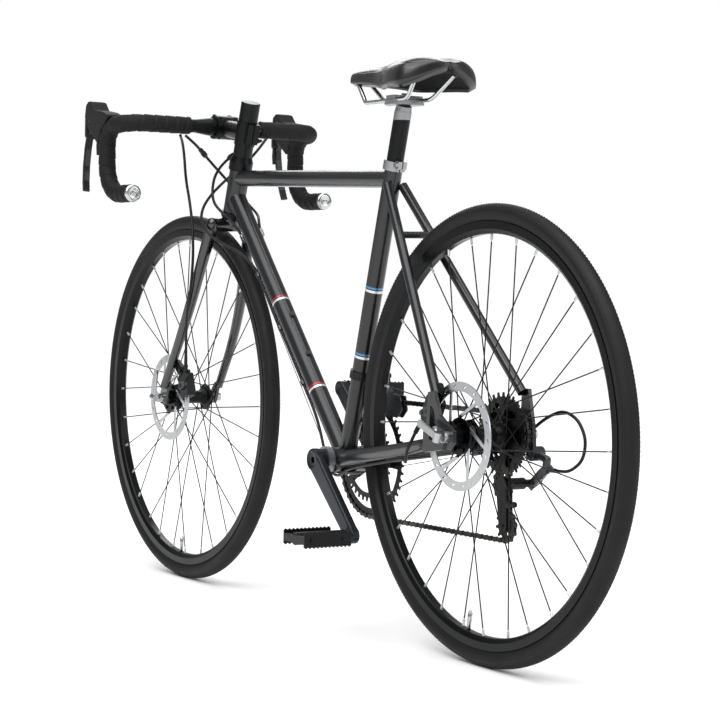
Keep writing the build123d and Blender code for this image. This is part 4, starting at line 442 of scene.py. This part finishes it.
for name, route in housing_routes.items():
    spline_data = bpy.data.curves.new(name, "CURVE")
    spline_data.dimensions = "3D"
    spline = spline_data.splines.new("NURBS")
    spline.points.add(len(route) - 1)
    for point, place in zip(spline.points, route):
        point.co = (*place, 1.0)
    spline.order_u = 3
    spline.use_endpoint_u = True
    spline.resolution_u = 12
    holder = bpy.data.objects.new(name + "_line", spline_data)
    bpy.context.scene.collection.objects.link(holder)
    bpy.context.view_layer.update()
    centreline = bpy.data.meshes.new_from_object(holder)
    line = np.empty(len(centreline.vertices) * 3, np.float32)
    centreline.vertices.foreach_get("co", line)
    line = line.reshape(-1, 3).astype(float)
    bpy.data.objects.remove(holder)
    radii = np.full((len(line), housing_columns), housing_radius)
    housing = surface(name, carried(line, radii, housing_columns), around=True, caps=True)
    wear(housing, housing_jacket)
    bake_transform(housing)
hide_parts("steering_housings")
adjuster_finish = finish("knurled black barrel", ("#19191a", "#232324"), 0.4, 0.45, 0.8, bump=0.1)
barrel_profile = np.array([(-0.013, 0.0030), (-0.012, 0.0042), (-0.002, 0.0044), (0.0, 0.0052), (0.008, 0.0052),
                           (0.010, 0.0044), (0.013, 0.0036)])
for name, low, high in (("left_barrel_adjuster", (0.3805, -0.036, 0.797), (0.380, -0.020, 0.7865)),
                        ("right_barrel_adjuster", (0.388, 0.034, 0.797), (0.3965, 0.022, 0.7895))):
    middle = (np.array(low) + np.array(high)) / 2
    way = (np.array(high) - np.array(low)) / np.linalg.norm(np.array(high) - np.array(low))
    barrel = carried(middle + barrel_profile[:, :1] * way, np.repeat(barrel_profile[:, 1:], 24, 1), 24)
    barrel = surface(name, barrel, around=True, caps=True)
    wear(barrel, adjuster_finish)
    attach(barrel, "steering")

# ---------------------------------------------------------------- seatpost, collar and rails
# An aluminium post anodised black with a polished forged head, gripped by a silver collar. The
# saddle rails are bent steel rod, chromed.
dress(finish("black post, polished head", ("#0e0f10", "#161718"), 0.7, 0.34, 1.2,
             bands=[(817.0, 900.0, "#8f9194")]), "seatpost")
chrome_rod = finish("chromed rod", ("#b9bbbd", "#cccecf"), 1.0, 0.2, 2.0)
dress(finish("frame fittings", ("#8e9092", "#a2a4a6"), 0.9, 0.34, 1.2,
             bands=[(250.0, 640.0, "#55575a")]), "frame_fittings")

# ---------------------------------------------------------------- saddle
# Black leather drawn over firm foam on a hollow nylon base: a narrow nose, two wings that curl
# down at the sides, and a pressure groove that runs out between them. A seam is pressed in along each side.
saddle_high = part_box("saddle_cover")[1]
saddle_stations = np.array([  # millimetres behind the nose: half width, drop of the crest, side depth
    (0.0, 13.0, 8.0, 17.0), (30.0, 17.5, 6.0, 22.0), (66.0, 21.0, 5.5, 26.0), (105.0, 27.0, 5.5, 31.0),
    (140.0, 39.0, 3.5, 39.0), (175.0, 55.0, 1.2, 43.0), (210.0, 67.0, 0.3, 45.0), (245.0, 72.0, 0.8, 47.0),
    (280.0, 66.0, 5.0, 44.0)])
saddle_rows, saddle_columns = 160, 96


def smooth_track(values, places, at):
    """Hermite interpolation of one column of station values, with slopes from the neighbours."""
    slopes = np.gradient(values, places)
    k = np.clip(np.searchsorted(places, at) - 1, 0, len(places) - 2)
    width = places[k + 1] - places[k]
    t = (at - places[k]) / width
    return ((2 * t**3 - 3 * t**2 + 1) * values[k] + (t**3 - 2 * t**2 + t) * width * slopes[k]
            + (-2 * t**3 + 3 * t**2) * values[k + 1] + (t**3 - t**2) * width * slopes[k + 1])


def saddle_sheet(inset, share_low=0.0, share_high=1.0, reach_share=1.0):
    """A curved sheet along and across the saddle, drawn in by `inset` millimetres: across it a flat-topped
    arch, the top less a steep power of the distance from the middle, closed by ellipses at nose and tail,
    with the groove pressed down the middle and the tail dipped between the two wings."""
    share = np.linspace(share_low, share_high, saddle_rows)[:, None]
    behind = 280.0 * (0.5 - 0.5 * np.cos(math.pi * share))
    across = np.linspace(-reach_share, reach_share, saddle_columns)[None]
    places = saddle_stations[:, 0]
    half, drop, depth = (smooth_track(saddle_stations[:, n], places, behind) for n in (1, 2, 3))
    nose = np.sqrt(np.clip(1 - np.clip((15.0 - behind) / 15.0, 0, 1) ** 2, 0, 1))
    tail = np.sqrt(np.clip(1 - np.clip((behind - 236.0) / 44.0, 0, 1) ** 2, 0, 1))
    close = np.clip(nose * tail, 0.015, 1.0)
    # The rear edge of each wing reaches further back than the middle.
    notch = 9.0 * np.clip((behind - 190.0) / 90.0, 0, 1) ** 2 * (1 - np.clip(np.abs(across) * 2.2, 0, 1) ** 2)
    angle = across * math.pi / 2
    y = (half - inset) * close * np.sin(angle)
    arch = 1 - np.abs(np.cos(angle)) ** 0.62
    z = saddle_high.z * 1000 - 0.5 - drop - inset - (1 - nose) * 0.5 * depth - (1 - tail) * 5.0
    z = z - (depth - 0.4 * inset) * arch * (0.35 + 0.65 * nose) * (0.08 + 0.92 * tail)
    along = np.clip((behind - 70.0) / 60.0, 0, 1)
    width = 6.0 + 12.0 * np.clip((behind - 150.0) / 130.0, 0, 1)
    groove = (3.0 + 5.0 * np.clip((behind - 130.0) / 130.0, 0, 1)) * along * along * (3 - 2 * along)
    z = z - groove * np.exp(-((np.abs(y) / width) ** 2.6)) * (0.3 + 0.7 * close)
    seam = 0.8 * np.exp(-(((np.abs(across) - 0.64) / 0.012) ** 2)) * np.clip((behind - 30.0) / 20.0, 0, 1)
    z = z - (seam if inset < 1.0 else 0.0)
    x = saddle_high.x * 1000 - 0.4 - inset * 0.6 * np.cos(math.pi * share) - behind + notch
    return np.stack([x + 0 * y, y, z + 0 * y], -1) / 1000.0


def folded(outer, inner):
    """A closed skin from an outer and an inner sheet: each row goes over the outer sheet and back under."""
    return np.concatenate([outer, inner[:, ::-1]], axis=1)


# Leather: a fine pebbled grain under a soft dressed sheen.
leather = finish("black saddle leather", ("#090909", "#121213"), 0.0, 0.34, 1.4, bump=0.16, coat=0.25)
pad_thickness = 8.5  # millimetres of leather and foam
saddle_skin = folded(saddle_sheet(0.0), saddle_sheet(pad_thickness))
saddle = surface("saddle_leather", saddle_skin, around=True, caps=True)
wear(saddle, leather)
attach(saddle, "saddle")
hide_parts("saddle_cover")
base_top, base_bottom = 9.2, 12.2  # millimetres below the leather
base_extent = (0.07, 0.93, 0.9)  # shares of the saddle's length and width
base_skin = folded(saddle_sheet(base_top, *base_extent), saddle_sheet(base_bottom, *base_extent))
base = surface("saddle_base", base_skin, around=True, caps=True)
wear(base, finish("moulded nylon base", ("#141415", "#1e1e1f"), 0.0, 0.46, 1.4, bump=0.1))
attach(base, "saddle")
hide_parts("saddle_shell")

# Two rails of bent and chromed rod run from under the nose to a nylon socket under each wing.
rail_level = 0.847
rail_path = np.array([(-0.112, 0.009, 0.8925), (-0.162, 0.020, rail_level + 0.001),
                      (-0.202, 0.022, rail_level), (-0.288, 0.022, rail_level), (-0.341, 0.036, 0.889)])
rail_bends = (0.014, 0.060, 0.030)
rail_radius, rail_columns = 0.0035, 20
for side, mirror in (("left", 1.0), ("right", -1.0)):
    line = bent_bar(rail_path, rail_bends, 0.002) * (1.0, mirror, 1.0)
    rail_skin = carried(line, np.full((len(line), rail_columns), rail_radius), rail_columns)
    rail = surface(f"{side}_saddle_rail", rail_skin, around=True, caps=True)
    wear(rail, chrome_rod)
    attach(rail, "saddle")
    if side == "left":
        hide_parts("saddle_rails")
    socket = np.array([(0.0, 0.0062), (0.004, 0.0062), (0.012, 0.0052)])
    foot = line[-1] - (line[-1] - line[-4]) * 0.2
    way = (line[-1] - line[-4]) / np.linalg.norm(line[-1] - line[-4])
    boot = carried(foot - socket[:, :1] * way + way * 0.003, np.repeat(socket[:, 1:], rail_columns, 1),
                   rail_columns)
    boot = surface(f"{side}_rail_socket", boot, around=True, caps=True)
    wear(boot, base.active_material)
    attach(boot, "saddle")

# ---------------------------------------------------------------- tyres and valves
# Moulded rubber tyres with a fine diamond file tread on the crown and smooth black sidewalls
# with two thin moulded ribs; each inner tube's nickel-plated valve stands through the rim.
tyre_middle = 0.3265
tyre_half = 0.0145
tread_pitch = 6.5  # millimetres, a little coarser than the real file pattern so that it shows
tread_count = int(2 * math.pi * 341.0 / tread_pitch / 2) * 2
tyre_rows = tread_count * 4
axles = {"front": (0.4924, 0.341), "rear": (-0.4924, 0.341)}


def tyre_skin(axle_x, axle_z):
    """A ring of closed sections: the section is an arc of 256 degrees with its wall and two beads; diamonds
    from the product of two slanted waves stand on the crown, and a rib on each sidewall."""
    lateral = np.linspace(-128.0, 128.0, 41)
    swing = np.radians(lateral)
    step = np.arange(tyre_rows)[:, None]
    cross = (np.arange(41) - 20)[None] * 0.25
    diamonds = np.abs(np.sin(math.pi * (step / 4 + cross)) * np.sin(math.pi * (step / 4 - cross)))
    crown = np.clip((66.0 - np.abs(lateral)) / 6.0, 0, 1)[None]
    ribs = sum(0.0004 * np.exp(-(((np.abs(lateral) - rib) / 4.0) ** 2)) for rib in (84.0, 110.0))
    lift = crown * (0.0009 * diamonds - 0.0007) + ribs[None] - 0.0003
    out = tyre_half + lift
    radius = tyre_middle + out * np.cos(swing)
    side = out * np.sin(swing)
    beads = np.array([(0.3112, 0.0082), (0.3112, 0.0066), (0.3190, 0.0066)])
    wall = np.radians(np.linspace(120.0, -120.0, 9))
    inner = np.stack([tyre_middle + 0.0122 * np.cos(wall), 0.0122 * np.sin(wall)], -1)
    loop = np.vstack([beads[:2], inner, beads[1::-1] * (1, -1)])
    ones = np.ones((tyre_rows, 1))
    radius = np.hstack([radius, ones * loop[:, 0]])
    side = np.hstack([side, ones * loop[:, 1]])
    round_wheel = 2 * math.pi * step / tyre_rows
    return np.stack([axle_x + radius * np.cos(round_wheel), side, axle_z + radius * np.sin(round_wheel)], -1)


# Carbon-black rubber: matt, a little greyer where the mould left it dull.
rubber = finish("black tyre rubber", ("#070708", "#0e0e0f"), 0.0, 0.62, 1.3, bump=0.06, smudge=60.0)
nickel = finish("nickel-plated valve", ("#a9abad", "#c2c4c6"), 1.0, 0.26, 2.0)
valve_angles = {"front": -86.0, "rear": -82.0}
valve_profile = np.array([(0.312, 0.0030), (0.284, 0.0030), (0.283, 0.0034), (0.270, 0.0034), (0.269, 0.0022),
                          (0.2665, 0.0022), (0.266, 0.0012)])
for end, (axle_x, axle_z) in axles.items():
    tyre = surface(f"{end}_tyre_skin", tyre_skin(axle_x, axle_z), around=True, along=True)
    wear(tyre, rubber)
    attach(tyre, f"{end}_wheel")
    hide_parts(f"{end}_tyre")
    angle = math.radians(valve_angles[end])
    out = np.array((math.cos(angle), 0.0, math.sin(angle)))
    centre = np.array((axle_x, 0.0, axle_z))
    stem = carried(centre + valve_profile[:, :1] * out, np.repeat(valve_profile[:, 1:], 16, 1), 16)
    stem = surface(f"{end}_valve", stem, around=True, caps=True)
    wear(stem, nickel)
    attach(stem, f"{end}_wheel")

# ---------------------------------------------------------------- rims, spokes, hubs and rotors
# Extruded aluminium rims and forged hubs anodised black, black stainless spokes with bright
# nipples at the rim, and stamped stainless rotors ground to a fine circular grain.
rim_finish = finish("black anodised rim", ("#0f1011", "#17181a"), 0.75, 0.3, 1.0, smudge=140.0)
dress(rim_finish, "front_rim", "rear_rim")
for end, (axle_x, axle_z) in axles.items():
    centre = (axle_x, 0.0, axle_z)
    dress(finish(f"{end} black spokes", ("#0b0b0c", "#121213"), 0.6, 0.32, 2.0,
                 bands=[(284.0, 300.0, "#c3c5c7")], centre=centre), f"{end}_spokes")
    dress(finish(f"{end} ground steel rotor", ("#a9abae", "#c8cacc"), 1.0, 0.28, 0.9, bump=0.02,
                 bands=[(0.0, 31.0, "#17181a")], centre=centre), f"{end}_rotor")
dress(black_anodised, "front_hub", "rear_hub")
bright_steel = finish("plated steel", ("#9fa1a3", "#bcbec0"), 1.0, 0.3, 1.5)
dress(bright_steel, "front_axle", "rear_axle", "front_quick_release", "rear_quick_release")

# ---------------------------------------------------------------- cranks, rings, chain and cassette
# Forged arms shot-blasted and anodised dark grey, machined black rings, and an oiled chain and
# cassette whose steel has darkened, brighter on worn edges.
softened("crank_arms", "forged_crank_arms", "crank", 1.1, 8,
         finish("grey anodised crank", ("#26292d", "#34383d"), 0.8, 0.34, 0.9, bump=0.03))
dress(finish("black chainring", ("#121314", "#1f2021"), 0.8, 0.36, 1.2), "chainrings")
dress(finish("oiled chain steel", ("#2a2826", "#4a4845"), 0.95, 0.36, 1.6, smudge=8.0, spread=0.1), "chain")
dress(finish("oiled cassette steel", ("#262524", "#3f3e3d"), 0.95, 0.34, 1.6, smudge=10.0, spread=0.1),
      "cassette")

# ---------------------------------------------------------------- pedals
# Cast aluminium cages painted black, with sawtooth edges that show bright where shoes wear them.
dress(finish("black pedal cage", ("#101011", "#1d1e1f"), 0.6, 0.42, 1.0, bump=0.06),
      "left_pedal", "right_pedal")

# ---------------------------------------------------------------- derailleurs and brakes
# Cast and stamped aluminium links painted black or grey, with black nylon jockey wheels, and
# cast calipers bolted to the fork and the stay, painted satin black.
satin_cast = finish("satin cast aluminium", ("#121314", "#1d1e1f"), 0.55, 0.4, 1.0, bump=0.04)
grey_cast = finish("grey cast aluminium", ("#3a3d42", "#4d5055"), 0.75, 0.36, 1.0, bump=0.04)
dress(satin_cast, "front_derailleur_body", "front_derailleur_link", "rear_derailleur_inner_link",
      "front_brake_caliper", "rear_brake_caliper", "rear_derailleur_cage_knuckle", "rear_derailleur_cage")
dress(grey_cast, "rear_derailleur_knuckle", "rear_derailleur_outer_link", "front_brake_arm", "rear_brake_arm",
      "front_derailleur_cage")
dress(finish("nylon pulley", ("#0f0f10", "#171718"), 0.0, 0.5, 1.0, bump=0.03), "upper_jockey_wheel",
      "lower_jockey_wheel")
